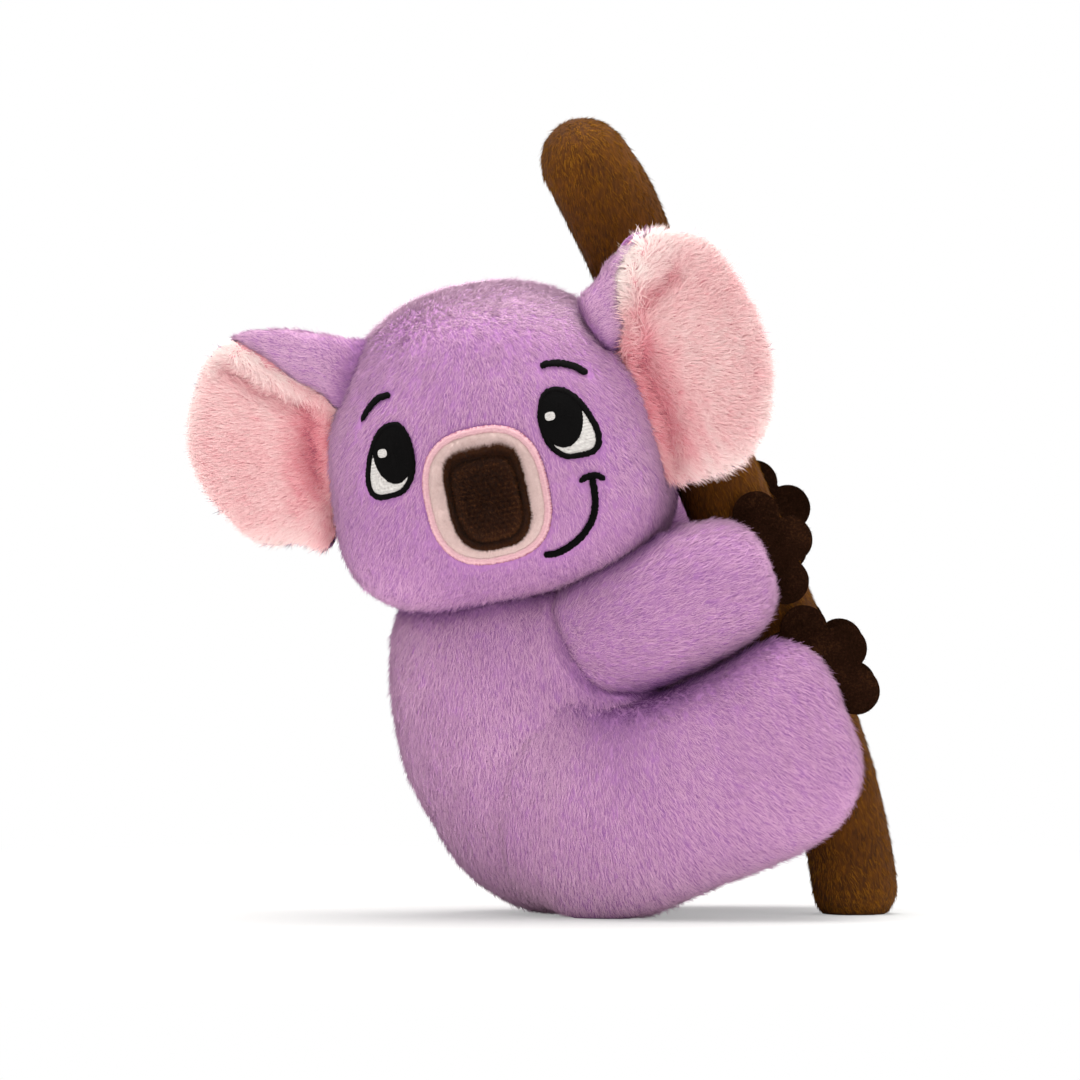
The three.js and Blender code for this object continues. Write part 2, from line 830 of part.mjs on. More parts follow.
const middle = new THREE.Box3().setFromObject(toy).getCenter(new THREE.Vector3());
toy.position.set(-middle.x, -middle.y, 0);

export default toy;
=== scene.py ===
import json
import math

import bpy
import numpy as np
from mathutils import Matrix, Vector


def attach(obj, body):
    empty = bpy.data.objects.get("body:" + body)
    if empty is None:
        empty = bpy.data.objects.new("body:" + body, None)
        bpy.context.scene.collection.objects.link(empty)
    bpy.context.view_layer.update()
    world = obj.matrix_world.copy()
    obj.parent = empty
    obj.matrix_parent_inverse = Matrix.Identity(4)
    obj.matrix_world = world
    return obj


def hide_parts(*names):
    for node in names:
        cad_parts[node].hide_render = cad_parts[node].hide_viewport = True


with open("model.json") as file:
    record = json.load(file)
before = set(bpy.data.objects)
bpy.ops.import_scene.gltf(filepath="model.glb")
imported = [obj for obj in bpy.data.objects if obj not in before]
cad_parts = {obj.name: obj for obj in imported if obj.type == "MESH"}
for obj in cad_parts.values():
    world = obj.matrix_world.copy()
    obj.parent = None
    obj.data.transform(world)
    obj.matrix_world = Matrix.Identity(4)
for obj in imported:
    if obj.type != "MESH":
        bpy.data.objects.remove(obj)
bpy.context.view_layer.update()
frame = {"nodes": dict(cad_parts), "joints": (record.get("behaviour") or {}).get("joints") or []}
mm = 0.001
rad = math.pi / 180
right, left = -1, 1  # the toy's own sides, as the sign of y on them
print("frame loaded:", len(frame["nodes"]), "nodes")


def unit(v):
    return v / np.maximum(np.linalg.norm(v, axis=-1, keepdims=True), 1e-9)


def xyz(*parts):  # points, from an array or a number for each direction
    return np.stack(np.broadcast_arrays(*parts), -1)


def smooth(x, low, high):
    t = np.clip((x - low) / (high - low), 0, 1)
    return t * t * (3 - 2 * t)


def bell(x, width):  # 1 where x is nothing, and next to nothing beyond twice the width
    return np.exp(-(x / width) ** 2)


# how wide a rounded form is at a share of its half length: (1 - |share|^power)^(1/power)
def swell(share, power):
    return (1 - np.minimum(1, np.abs(share)) ** power) ** (1 / power)


# a gentle unevenness: the mean of a few sine waves that run in fixed chance directions
def waves(points, size, seed, count=7):
    rng = np.random.default_rng(seed)
    total = 0
    for _ in range(count):
        way = unit(rng.normal(size=3)) * 2 * math.pi / size * rng.uniform(0.6, 1.5)
        total = total + np.sin(points @ way + rng.uniform(0, 6.28))
    return total / count


class Place:  # a turned and shifted frame, in millimetres
    def __init__(self, turn, spot, inside=None):
        self.turn, self.spot = np.array(turn, float), np.array(spot, float)
        if inside:
            self.spot = inside.out(self.spot)
            self.turn = inside.turn @ self.turn

    def out(self, points):
        return points @ self.turn.T + self.spot

    def into(self, points):
        return (points - self.spot) @ self.turn

    def axes(self, points):  # x, y and z of the points in this frame
        return np.moveaxis(self.into(points), -1, 0)


def turnY(angle):
    c, s = math.cos(angle), math.sin(angle)
    return np.array([[c, 0, s], [0, 1, 0], [-s, 0, c]])


def turnZ(angle):
    c, s = math.cos(angle), math.sin(angle)
    return np.array([[c, -s, 0], [s, c, 0], [0, 0, 1]])


# makes a piece of corner points in millimetres and arrays of triangles and quads
def meshOf(name, points, faceSets, body, finish, replaced=()):
    mesh = bpy.data.meshes.new(name)
    mesh.vertices.add(len(points))
    mesh.vertices.foreach_set("co", (points * mm).astype(np.float32).ravel())
    starts, at = [], 0
    for faces in faceSets:
        starts.append(at + np.arange(len(faces)) * faces.shape[1])
        at += faces.size
    mesh.loops.add(at)
    mesh.loops.foreach_set("vertex_index", np.concatenate([f.ravel() for f in faceSets]))
    mesh.polygons.add(sum(len(f) for f in faceSets))
    mesh.polygons.foreach_set("loop_start", np.concatenate(starts))
    mesh.update(calc_edges=True)
    mesh.shade_smooth()
    mesh.materials.append(finish.material)
    piece = bpy.data.objects.new(name, mesh)
    bpy.context.scene.collection.objects.link(piece)
    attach(piece, body)
    if replaced:
        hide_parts(*replaced)
    return piece


class Skin:  # a closed surface as a grid of points: round and from pole to pole, or a ring
    def __init__(self, surface, rows, columns, ring=False):
        self.ring = ring
        u = np.arange(rows) / rows if ring else np.linspace(0, 1, rows + 1)
        self.u, self.v = np.meshgrid(u, np.arange(columns) / columns, indexing="ij")
        self.points = surface(self.u, self.v)
        self.closePoles()
        # the enclosed volume, whose sign tells which way the faces look
        a, b, c, d = self.cells(self.points)
        if np.sum(a * (np.cross(b, c) + np.cross(c, d))) < 0:
            self.points = self.points[:, ::-1]
            self.u, self.v = self.u[:, ::-1], self.v[:, ::-1]
        self.settle()

    def closePoles(self):
        if not self.ring:
            for end in (0, -1):
                self.points[end] = self.points[end].mean(0)

    def cells(self, grid):  # the values of a grid at the four corners of each of its cells
        grid = np.concatenate([grid, grid[:, :1]], 1)
        if self.ring:
            grid = np.concatenate([grid, grid[:1]], 0)
        return grid[:-1, :-1], grid[1:, :-1], grid[1:, 1:], grid[:-1, 1:]

    def across(self):  # for each cell, its normal times twice its area
        a, b, c, d = self.cells(self.points)
        return np.cross(c - a, d - b)

    def settle(self):  # smooth normals, from the cells round each point
        flat = self.across()
        total = flat + np.roll(flat, 1, 1)
        if self.ring:
            total = total + np.roll(total, 1, 0)
        else:
            inner = total[:-1]
            total = np.concatenate([total, total[-1:]], 0)
            total[1:-1] += inner
            total[0], total[-1] = total[0].sum(0), total[-1].sum(0)
        self.normals = unit(total)

    def push(self, amount):
        self.points = self.points + self.normals * amount[..., None]
        self.closePoles()
        self.settle()

    def restOnFloor(self):
        self.points[..., 2] = np.maximum(self.points[..., 2], 0)
        self.settle()

    def mesh(self, name, body, finish, replaced=(), fill=None):
        points, caps = self.points.reshape(-1, 3), []
        columns = self.points.shape[1]
        if not self.ring:
            points = points[columns:-columns]
        index = np.arange(len(points)).reshape(-1, columns)
        quads = np.stack(self.cells(index), -1).reshape(-1, 4)
        if not self.ring:
            after = np.roll(index, -1, 1)
            first, last = np.full(columns, len(points)), np.full(columns, len(points) + 1)
            caps = [np.concatenate([np.stack([first, index[0], after[0]], -1),
                                    np.stack([index[-1], last, after[-1]], -1)])]
            points = np.concatenate([points, self.points[0, :1], self.points[-1, :1]])
        return meshOf(name, points, [quads, *caps], body, finish, replaced)

    # chance places on the surface, evenly by area, and their normals
    def scatter(self, count, rng):
        area = np.linalg.norm(self.across(), axis=-1).ravel()
        cell = rng.choice(len(area), count, p=area / area.sum())
        s, t = rng.random((2, count, 1))

        def mixed(grid):
            a, b, c, d = (x.reshape(-1, 3)[cell] for x in self.cells(grid))
            return (a * (1 - s) + b * s) * (1 - t) + (d * (1 - s) + c * s) * t

        return mixed(self.points), unit(mixed(self.normals))


class Value:  # one socket of a finish, so that its sums are written as sums
    def __init__(self, tree, socket):
        self.tree, self.socket = tree, socket

    def maths(self, operation, other, swapped=False):
        node = self.tree.nodes.new("ShaderNodeMath")
        node.operation = operation
        for slot, item in zip(node.inputs, (other, self) if swapped else (self, other)):
            if isinstance(item, Value):
                self.tree.links.new(item.socket, slot)
            else:
                slot.default_value = item
        return Value(self.tree, node.outputs[0])

    def __add__(self, other):
        return self.maths("ADD", other)

    def __sub__(self, other):
        return self.maths("SUBTRACT", other)

    def __mul__(self, other):
        return self.maths("MULTIPLY", other)

    def __rsub__(self, other):
        return self.maths("SUBTRACT", other, True)

    __radd__, __rmul__ = __add__, __mul__


def colour(text):  # a written colour as the linear light it stands for
    parts = [int(text[i:i + 2], 16) / 255 for i in (1, 3, 5)]
    return [((c + 0.055) / 1.055) ** 2.4 if c > 0.04045 else c / 12.92 for c in parts] + [1]


class Finish:  # a material, and the name of a slot, which is kept with it but not used here
    def __init__(self, name, slot=None, **constants):
        self.material, self.slot = bpy.data.materials.new(name), slot
        self.material.use_nodes = True
        self.tree = self.material.node_tree
        self.shader = self.tree.nodes["Principled BSDF"]
        for key, value in constants.items():
            self.shader.inputs[key.replace("_", " ")].default_value = value

    def node(self, kind, settings={}, output=0, **inputs):
        node = self.tree.nodes.new("ShaderNode" + kind)
        for key, value in settings.items():
            if key == "stops":
                ramp = node.color_ramp
                while len(ramp.elements) < len(value):
                    ramp.elements.new(0.5)
                for stop, (spot, shade) in zip(ramp.elements, value):
                    stop.position, stop.color = spot, shade
            else:
                setattr(node, key, value)
        for key, value in inputs.items():
            slot = node.inputs[int(key[1:])] if key[1:].isdigit() else node.inputs[key]
            if isinstance(value, Value):
                self.tree.links.new(value.socket, slot)
            else:
                slot.default_value = value
        return Value(self.tree, node.outputs[output])

    def spot(self, scale=(1, 1, 1), turn=(0, 0, 0)):
        where = self.node("TexCoord", output=3)
        return self.node("Mapping", Vector=where, Scale=scale, Rotation=turn)

    def noise(self, scale, where=None, detail=2.0, rough=0.5):
        return self.node("TexNoise", Vector=where or self.spot(), Scale=scale, Detail=detail,
                         Roughness=rough)

    def blend(self, share, a, b):
        return self.node("Mix", {"data_type": "RGBA"}, 2, i0=share, i6=a, i7=b)

    def ramp(self, share, *stops):
        return self.node("ValToRGB", {"stops": [(s, colour(c)) for s, c in stops]}, Fac=share)

    def attribute(self, name):
        return self.node("Attribute", {"attribute_name": name}, 2)

    def bump(self, height, strength, distance):
        return self.node("Bump", Height=height, Strength=strength, Distance=distance)

    def feed(self, **sockets):
        for key, value in sockets.items():
            self.tree.links.new(value.socket, self.shader.inputs[key.replace("_", " ")])
        return self


# cloth under the pile: darker than the tips, with fine streaks the way the pile lies;
# crown: a paler colour it fades to between 175 and 195 mm, painted light on the top of the head
# where the parted pile covers it less
def backing(name, slot, deep, light, streak, turn=0.0, crown=None):
    made = Finish(name, slot, Roughness=0.95, Specular_IOR_Level=0.15)
    fine = made.noise(1.0, made.spot(streak, (0, turn, 0)), 3.0)
    cloudy = made.noise(55.0)
    tint = made.ramp(fine * 0.7 + cloudy * 0.3, (0.3, deep), (0.7, light))
    if crown:
        height = made.node("SeparateXYZ", {}, 2, Vector=made.spot())
        fade = made.ramp(height * 5.0, (0.875, "#000000"), (0.975, "#ffffff"))
        tint = made.blend(fade, tint, colour(crown))
    return made.feed(Base_Color=tint, Normal=made.bump(fine, 0.4, 0.0005))


# pile: from painted shade in a crease over root and middle to the light tip, each strand with its
# own tone, which painted shade and painted light move along the ramp
def pileFinish(name, slot, shade, root, middle, tip, cloud=0.3, shine=0.12):
    made = Finish(name, slot, Roughness=0.85, Specular_IOR_Level=shine)
    along, tone = made.attribute("along"), made.attribute("tone")
    share = along * 0.34 + tone * 0.36 + (made.noise(38.0) - 0.5) * cloud + 0.2
    return made.feed(Base_Color=made.ramp(share, (0, shade), (0.2, root), (0.52, middle),
                                          (0.95, tip)))


# thread: fine ridges along each stitch with a soft gloss; its colour runs from dark to light with
# the ridge value, a painted highlight on each stitch's crown and painted shade between stitches
def threadFinish(name, slot, dark, light, gloss, shine=0.2):
    made = Finish(name, slot, Roughness=gloss, Specular_IOR_Level=shine)
    fine = made.noise(1.0, made.spot((900, 900, 2600)))
    share = fine * 0.5 + made.attribute("ridge") * 0.6 - 0.05
    return made.feed(Base_Color=made.ramp(share, (0.1, dark), (0.8, light)),
                     Normal=made.bump(fine, 0.3, 0.00015))


def feltFinish(name, slot):
    made = Finish(name, slot, Roughness=1.0, Specular_IOR_Level=0.0)
    matted, worn = made.noise(1500.0, None, 4.0, 0.7), made.noise(90.0, None, 3.0)
    tint = made.ramp(matted * 0.6 + worn * 0.4, (0.3, "#0e0602"), (0.52, "#20110a"),
                     (0.72, "#3d2514"))
    return made.feed(Base_Color=tint, Normal=made.bump(matted, 0.6, 0.0005))


lilac = ("lilac_plush", "#84558a", "#a3739f", (900, 900, 260))
lilacCloth = backing("lilac_backing", *lilac)
headCloth = backing("head_backing", *lilac, crown="#ad87a9")
pinkCloth = backing("pink_backing", "pink_long_pile", "#d9848f", "#eaa9ae", (260, 900, 900))
barkCloth = backing("bark_backing", "brown_plush", "#2c1503", "#573005", (1100, 1100, 300),
                    22 * rad)
creamCloth = backing("cream_backing", "cream_short_pile", "#b89c97", "#ceb6b1", (900, 900, 900))
noseCloth = backing("nose_backing", "dark_brown_plush", "#0e0603", "#29150b",
                    (1400, 1400, 1400))
lilacPile = pileFinish("lilac_pile", "lilac_plush", "#6b3c74", "#8c5d91", "#b788ad", "#d8afc9")
pinkPile = pileFinish("pink_pile", "pink_long_pile", "#a95268", "#de7f8a", "#f0babb", "#fce8e2")
barkPile = pileFinish("bark_pile", "brown_plush", "#120700", "#2b1402", "#613807", "#9c671c",
                      0.75, 0.05)
creamPile = pileFinish("cream_pile", "cream_short_pile", "#997e79", "#b2948e", "#c7ada8",
                       "#d6c2bd")
nosePile = pileFinish("nose_pile", "dark_brown_plush", "#040101", "#140804", "#361c0d",
                      "#633d22", 0.3, 0.05)
feltFuzz = pileFinish("felt_fuzz", "brown_felt", "#0c0502", "#170b06", "#301b10", "#523625",
                      0.3, 0.05)
blackThread = threadFinish("black_thread", "black_thread", "#000000", "#040303", 0.85, 0.06)
whiteThread = threadFinish("white_thread", "white_thread", "#5f5a57", "#bfbbb7", 0.7)
roseThread = threadFinish("rose_satin", "pink_satin_stitch", "#8c4a62", "#cda5a9", 0.6)
brownFelt = feltFinish("brown_felt", "brown_felt")
print("finishes made")

# sunk: how deep the roots are; shortest: the share of its length that a strand is dropped under;
# shade: how much painted shade darkens a strand in a crease; bent: how far the normals turn to
# its sides; tries: how many chance places tell what share of the skin is covered
strandSet = dict(sunk=0.3, shortest=0.12, lowest=0.15, shade=1.3, bent=0.65, ahead=0.3,
                 tries=6000, leastShare=0.02, heave=12, mottled=0.25)


# Each strand is a thin three-sided spike that lies over the way it is combed:
# corner k = root + radius * (across * cos(120 k) + lift * sin(120 k)), tip = root + length * way
def pileOn(name, skin, body, finish, setting, comb, keep=None, trim=None, openness=None):
    setting = dict(strandSet, **setting)
    rng = np.random.default_rng(setting["seed"])
    count, share = setting["strands"] // 1, 1.0
    if keep:
        share = max(keep(*skin.scatter(setting["tries"], rng)).mean(), setting["leastShare"])
    roots, normals = skin.scatter(int(count / share), rng)
    if keep:
        kept = keep(roots, normals)
        roots, normals = roots[kept], normals[kept]
    clump = np.stack([waves(roots, setting["clump"], setting["seed"] + k) for k in range(3)], -1)
    length = setting["length"] * rng.normal(1, 0.2, (len(roots), 1)).clip(0.5, 1.5)
    rise = setting["rise"] + rng.normal(size=(len(roots), 1)) * setting["spread"]
    rise = rise + clump[:, :1] * setting["heave"]
    # the strands stand up by some degrees more where the skin faces up
    rise = rise + setting.get("upright", 0) * smooth(normals[:, 2:], 0.55, 0.9)
    rise = rise.clip(4, 85) * rad
    lie = comb(roots, normals)
    lie = lie + rng.normal(size=roots.shape) * setting["unruly"] + clump * setting["clumping"]
    lie = unit(lie - normals * np.sum(lie * normals, -1, keepdims=True))
    way = normals * np.sin(rise) + lie * np.cos(rise)
    roots = roots - normals * setting["sunk"]
    mottled = setting["mottled"]
    tone = rng.random(len(roots)) * (1 - mottled) + mottled * (clump[:, 0] + 1) / 2
    # painted shade: a strand's tone is lowered where openness is below 1, and raised as painted
    # light where it is above 1
    if openness:
        tone = tone - (1 - openness(roots, normals)) * setting["shade"]
    if trim:
        part = trim(roots, way, length)
        kept = part[:, 0] > setting["shortest"]
        roots, normals, way = roots[kept], normals[kept], way[kept]
        length, tone = (length * part)[kept], tone[kept]
    count = len(roots)
    across = unit(np.cross(way, normals))
    lift = np.cross(way, across)
    radius = setting["width"] * 0.5 * rng.uniform(0.7, 1.3, (count, 1))
    turn = (np.arange(3) * 120 + 90) * rad
    around = (across[:, None] * np.cos(turn)[:, None] + lift[:, None] * np.sin(turn)[:, None])
    corners = roots[:, None] + around * radius[:, None]
    points = np.concatenate([corners, (roots + way * length)[:, None]], 1)
    points[..., 2] = np.maximum(points[..., 2], setting["lowest"])
    faces = (np.arange(count)[:, None] * 4 + [[0, 1, 3, 1, 2, 3, 2, 0, 3]]).reshape(-1, 3)
    mesh = meshOf(name, points.reshape(-1, 3), [faces], body, finish).data
    shown = np.concatenate([around * setting["bent"], way[:, None] * setting["ahead"]], 1)
    shown = shown + normals[:, None] + setting.get("facing", np.zeros(3))
    mesh.normals_split_custom_set_from_vertices(unit(shown).reshape(-1, 3))
    for key, values in (("along", np.tile([0, 0, 0, 1], count)), ("tone", np.repeat(tone, 4))):
        mesh.attributes.new(key, "FLOAT", "POINT").data.foreach_set(
            "value", values.astype(np.float32))
    # every strand has its own small square of the map, so that each keeps its tone
    side = math.ceil(math.sqrt(count))
    cell = np.stack([np.arange(count) % side, np.arange(count) // side], -1)[:, None]
    low, high = np.arange(3) / 3 + 0.03, np.arange(3) / 3 + 0.3
    leaf = xyz(low, 0.06, high, 0.06, (low + high) / 2, 0.94).reshape(9, 2)
    layer = mesh.uv_layers.new(name="OFBake")
    layer.data.foreach_set("uv", ((cell + leaf) / side).astype(np.float32).ravel())
    area = np.linalg.norm(skin.across(), axis=-1).sum() / 2 * share
    print(name, "strands:", count, "for each square millimetre:", round(count / area, 1))


def combed(*way):  # the pile lies one way all over
    return lambda roots, normals: np.broadcast_to(unit(np.array(way, float)), roots.shape)


# the stuffed parts, in millimetres
rootShift = np.array([-0.2255, 3.6152, 0.0])  # the part's middle is put over the origin
torsoSet = dict(height=106, halfWidth=45, halfDepth=38, lean=0.2, seatForward=12,
                seatPower=2.4, neckPower=2.8, floorCut=0.5, blend=11, mostBlend=5.5)
headSet = dict(halfWidth=49.5, jowlExtra=2.5, halfDepth=44, crown=49, jowl=47,
               crownPower=2.15, jowlPower=3.3, jowlEnd=0.7, crownStart=0.5, roll=-12,
               turn=-6.8, muzzleDrop=13.6, muzzleBulge=3, muzzleWide=16.7, muzzleHigh=18.3,
               muzzleFade=1.3)
branchSet = dict(radius=13, length=257.5, lean=22, press=3.8, footBend=11.5, footShare=0.3,
                 tipBend=4.5, tipShare=0.22, floorCut=0.5, capRows=0.1)
feltSet = dict(thick=1.8, lobe=7, gap=0.3)
gripDepth = branchSet["radius"] + 2 * feltSet["gap"] + feltSet["thick"]
armSet = dict(halfLength=35, halfWidth=21, halfThick=17, tilt=25, power=3, behind=12, tuck=6,
              haunch=0.5, depth=35)
legSet = dict(halfLength=55, halfWidth=30.3, halfThick=19, tilt=20, power=2.8, behind=20,
              tuck=12, haunch=6, depth=35)


def jointSpot(name):
    found = next(j for j in frame["joints"] if j["name"] == name)
    return np.array(found["pos_m"]) / mm


headPlace = Place(turnY(headSet["roll"] * rad) @ turnZ(headSet["turn"] * rad),
                  jointSpot("head_turn"))


def torsoMiddleAt(height):
    return torsoSet["seatForward"] - torsoSet["lean"] * height


# round a ring of width w(z) about a middle line that leans back; z runs from pole to pole
def torsoSurface(u, v):
    s = torsoSet
    z = -np.cos(math.pi * u)
    wide = np.where(z > 0, swell(z, s["neckPower"]), swell(z, s["seatPower"]))
    height = s["height"] / 2 * (1 + z) - s["floorCut"]
    x = torsoMiddleAt(height) + s["halfWidth"] * wide * np.cos(2 * math.pi * v)
    return xyz(x, s["halfDepth"] * wide * np.sin(2 * math.pi * v), height) + rootShift


def torsoLevel(points):
    s = torsoSet
    x, y, z = np.moveaxis(points - rootShift, -1, 0)
    up = (z + s["floorCut"]) / (s["height"] / 2) - 1
    power = np.where(up > 0, s["neckPower"], s["seatPower"])
    ring = np.hypot((x - torsoMiddleAt(z)) / s["halfWidth"], y / s["halfDepth"])
    return (ring ** power + np.abs(up) ** power) ** (1 / power) - 1


# the head's power, half width and half height: full jowls below go over into a round crown
def outlineAt(z):
    s = headSet
    share = smooth(z, -s["jowl"] * s["jowlEnd"], s["crown"] * s["crownStart"])
    power = s["jowlPower"] + (s["crownPower"] - s["jowlPower"]) * share
    wide = s["halfWidth"] + s["jowlExtra"] * (1 - share)
    return power, wide, np.where(z > 0, s["crown"], s["jowl"])


def muzzleSwell(x, z):  # how much the face bulges under the muzzle
    s = headSet
    across = x / (s["muzzleWide"] * s["muzzleFade"])
    up = (z + s["muzzleDrop"]) / (s["muzzleHigh"] * s["muzzleFade"])
    return 1 + s["muzzleBulge"] / s["halfDepth"] * np.exp(-across ** 2 - up ** 2)


# how far before its middle plane the head reaches, at a place across and up the face
def faceDepth(x, z):
    power, wide, high = outlineAt(z)
    rest = 1 - np.abs(x / wide) ** power - np.abs(z / high) ** power
    return headSet["halfDepth"] * np.maximum(0, rest) ** (1 / power) * muzzleSwell(x, z)


# |x/w|^p + |y/d|^p + |z/h|^p, which is 1 on the head's surface, and the power p
def headSum(x, y, z):
    power, wide, high = outlineAt(z)
    return (np.abs(x / wide) ** power + np.abs(y / headSet["halfDepth"]) ** power
            + np.abs(z / high) ** power), power


# in each direction, the distance where the sum above is 1, found by halving
def headSurface(u, v, farthest=110.0, halvings=26):
    polar, turn = math.pi * u, 2 * math.pi * v
    way = xyz(np.sin(polar) * np.cos(turn), np.sin(polar) * np.sin(turn), -np.cos(polar))
    near, far = np.zeros(u.shape), np.full(u.shape, farthest)
    for _ in range(halvings):
        middle = (near + far) / 2
        total, _ = headSum(*np.moveaxis(way * middle[..., None], -1, 0))
        near, far = np.where(total < 1, middle, near), np.where(total < 1, far, middle)
    point = way * near[..., None]
    swollen = muzzleSwell(point[..., 0], point[..., 2])
    point[..., 1] *= np.where(point[..., 1] < 0, swollen, 1)
    return headPlace.out(point)


def headLevel(points):
    total, power = headSum(*headPlace.axes(points))
    return total ** (1 / power) - 1


branchLean = branchSet["lean"] * rad
branchUp = np.array([-math.sin(branchLean), 0, math.cos(branchLean)])
branchAside = np.array([math.cos(branchLean), 0, math.sin(branchLean)])


def branchFoot():
    beside = (headPlace.spot - rootShift) * [1, 0, 1]
    beside = beside + branchAside * (headSet["halfWidth"] + branchSet["radius"]
                                     - branchSet["press"])
    return beside - branchUp * beside[2] / branchUp[2]


def branchLine(share):  # a straight line that bends in at its foot and at its tip
    s = branchSet
    share = np.asarray(share, float)
    aside = (-s["footBend"] * np.maximum(0, 1 - share / s["footShare"]) ** 2
             - s["tipBend"] * np.maximum(0, 1 - (1 - share) / s["tipShare"]) ** 2)
    return (branchFoot() + share[..., None] * s["length"] * branchUp
            + aside[..., None] * branchAside)


# a round tube along the line, closed by half balls: the ring shrinks as a quarter circle
def branchSurface(u, v):
    s = branchSet
    end, rows = s["radius"] / s["length"], s["capRows"]
    bend = np.where(u < rows, u / rows, np.where(u > 1 - rows, (1 - u) / rows, 1))
    cap = end * (1 - np.cos(bend * math.pi / 2))
    straight = end + (u - rows) / (1 - 2 * rows) * (1 - 2 * end)
    share = np.where(u < rows, cap, np.where(u > 1 - rows, 1 - cap, straight))
    ring = s["radius"] * np.sin(bend * math.pi / 2)
    along = unit(branchLine(share + 0.01) - branchLine(share - 0.01))
    out = xyz(along[..., 2], 0, -along[..., 0])
    angle = 2 * math.pi * v
    point = branchLine(share) + ring[..., None] * (
        out * np.cos(angle)[..., None] + np.array([0, 1, 0]) * np.sin(angle)[..., None])
    point[..., 2] -= s["floorCut"]
    return point + rootShift


def branchAway(points, spots=80):
    line = branchLine(np.linspace(0, 1, spots)) + rootShift
    away = np.full(points.shape[:-1], 1e9)
    for spot in line:
        away = np.minimum(away, np.linalg.norm(points - spot, axis=-1))
    return away - branchSet["radius"]


def limbMiddle(s, side, rear):  # the limb's middle line tucks in towards its rear end
    return side * (gripDepth + s["halfThick"] - s["depth"] - s["tuck"] * rear ** 2)


# an oval ring round the limb's line, wide across and thin through, that swells to both ends
def limbSurface(s, side, place):
    def surface(u, v):
        x = -np.cos(math.pi * u)
        rear = np.maximum(0, -x)
        wide = (s["halfWidth"] + s["haunch"] * rear) * swell(x, s["power"])
        thick = s["halfThick"] * np.where(x > 0, swell(x, s["power"]), swell(x, 2))
        angle = 2 * math.pi * v
        return place.out(xyz(s["halfLength"] - s["behind"] + s["halfLength"] * x,
                             limbMiddle(s, side, rear) + thick * np.cos(angle),
                             wide * np.sin(angle)))
    return surface


def limbLevel(s, side, place):
    def level(points):
        x, y, z = place.axes(points)
        x = (x - (s["halfLength"] - s["behind"])) / s["halfLength"]
        rear = np.maximum(0, -x)
        ring = np.hypot((y - limbMiddle(s, side, rear)) / s["halfThick"],
                        z / (s["halfWidth"] + s["haunch"] * rear))
        power = np.where(x > 0, s["power"], 2.3)
        return (ring ** power + np.abs(x) ** power) ** (1 / power) - 1
    return level


# how far a point is from a stuffed form, less than nothing inside it: level / |slope of level|
def distanceTo(level):
    def distance(points):
        here, slope = level(points), 0
        for axis in np.eye(3) * 0.5:
            slope = slope + (level(points + axis) - level(points - axis)) ** 2
        return here / np.maximum(np.sqrt(slope), 1e-3)
    return distance


# where two forms meet their skins run into each other: min(a, b) - (k - |a - b|)^2 / 4k
def softUnion(a, b, k):
    near = np.maximum(k - np.abs(a - b), 0)
    return np.minimum(a, b) - near ** 2 / (4 * k)


def meetSmoothly(skin, own, others, reach, most, rounds=5):
    out = np.zeros(skin.points.shape[:2])
    for _ in range(rounds):
        spots = skin.points + skin.normals * out[..., None]
        gap = own(spots)
        for other in others:
            gap = softUnion(gap, other(spots), reach)
        out = np.clip(out - gap, 0, most)
    skin.push(out)


torsoAway, headAway = distanceTo(torsoLevel), distanceTo(headLevel)
limbs = {}
for name, s in (("arm", armSet), ("leg", legSet)):
    for hand, side in (("right", right), ("left", left)):
        joint = jointSpot(f"{name}_{hand}_open")
        limbs[f"{name}_{hand}"] = (s, side, Place(turnY(-s["tilt"] * rad), joint))
limbAway = {name: distanceTo(limbLevel(*limb)) for name, limb in limbs.items()}


# whether the pile shows: above the floor, and no deeper in each form than is given
def outOf(roots, *forms):
    shown = roots[:, 2] > 0.6
    for away, depth in forms:
        shown = shown & (away(roots) > -depth)
    return shown


# how open a place on the pile is, for painted shade: 0 deep in a crease beside another form, 1
# out in the light
def openBeside(others, reach=8.0, deepest=-2.0, above=2):
    def openness(roots, normals):
        gap = np.full(len(roots), 1e3)
        for other in others:
            gap = np.minimum(gap, other(roots + normals * above))
        return smooth(gap, deepest, reach)
    return openness


# painted shade on the pile in the hollow behind the arm, and painted light that makes it paler
# towards the seat
hollowSet = dict(spot=(27, -30, 64), stretch=(1, 0.6, 1.15), reach=17, seatBounce=0.3)


def shaded(isOpen, deep):
    def openness(roots, normals):
        off = (roots - hollowSet["spot"]) * hollowSet["stretch"]
        hollowShade = np.exp(-np.sum(off ** 2, -1) / hollowSet["reach"] ** 2)
        return (isOpen(roots, normals) - deep * hollowShade
                + hollowSet["seatBounce"] * (1 - smooth(roots[:, 2], 3, 24)))
    return openness


bodyPile = dict(length=3.3, width=0.27, rise=19, spread=8, unruly=0.22, clump=6.0,
                clumping=0.24, sink=0.8)
torsoPiles = {"torso_pile_near": (54000, right, 11), "torso_pile_far": (38000, left, 12)}
# armBlend: the reach of the soft join with the arms; slimmer, waist: how much less deep the back
# is, all over and about waistAt
backSet = dict(armBlend=7, mostArmBlend=2.2, slimmer=1.2, waist=1.5, waistAt=26, waistReach=12)
torsoSkin = Skin(torsoSurface, 100, 140)
meetSmoothly(torsoSkin, torsoAway, [limbAway["leg_right"], limbAway["leg_left"]],
             torsoSet["blend"], torsoSet["mostBlend"])
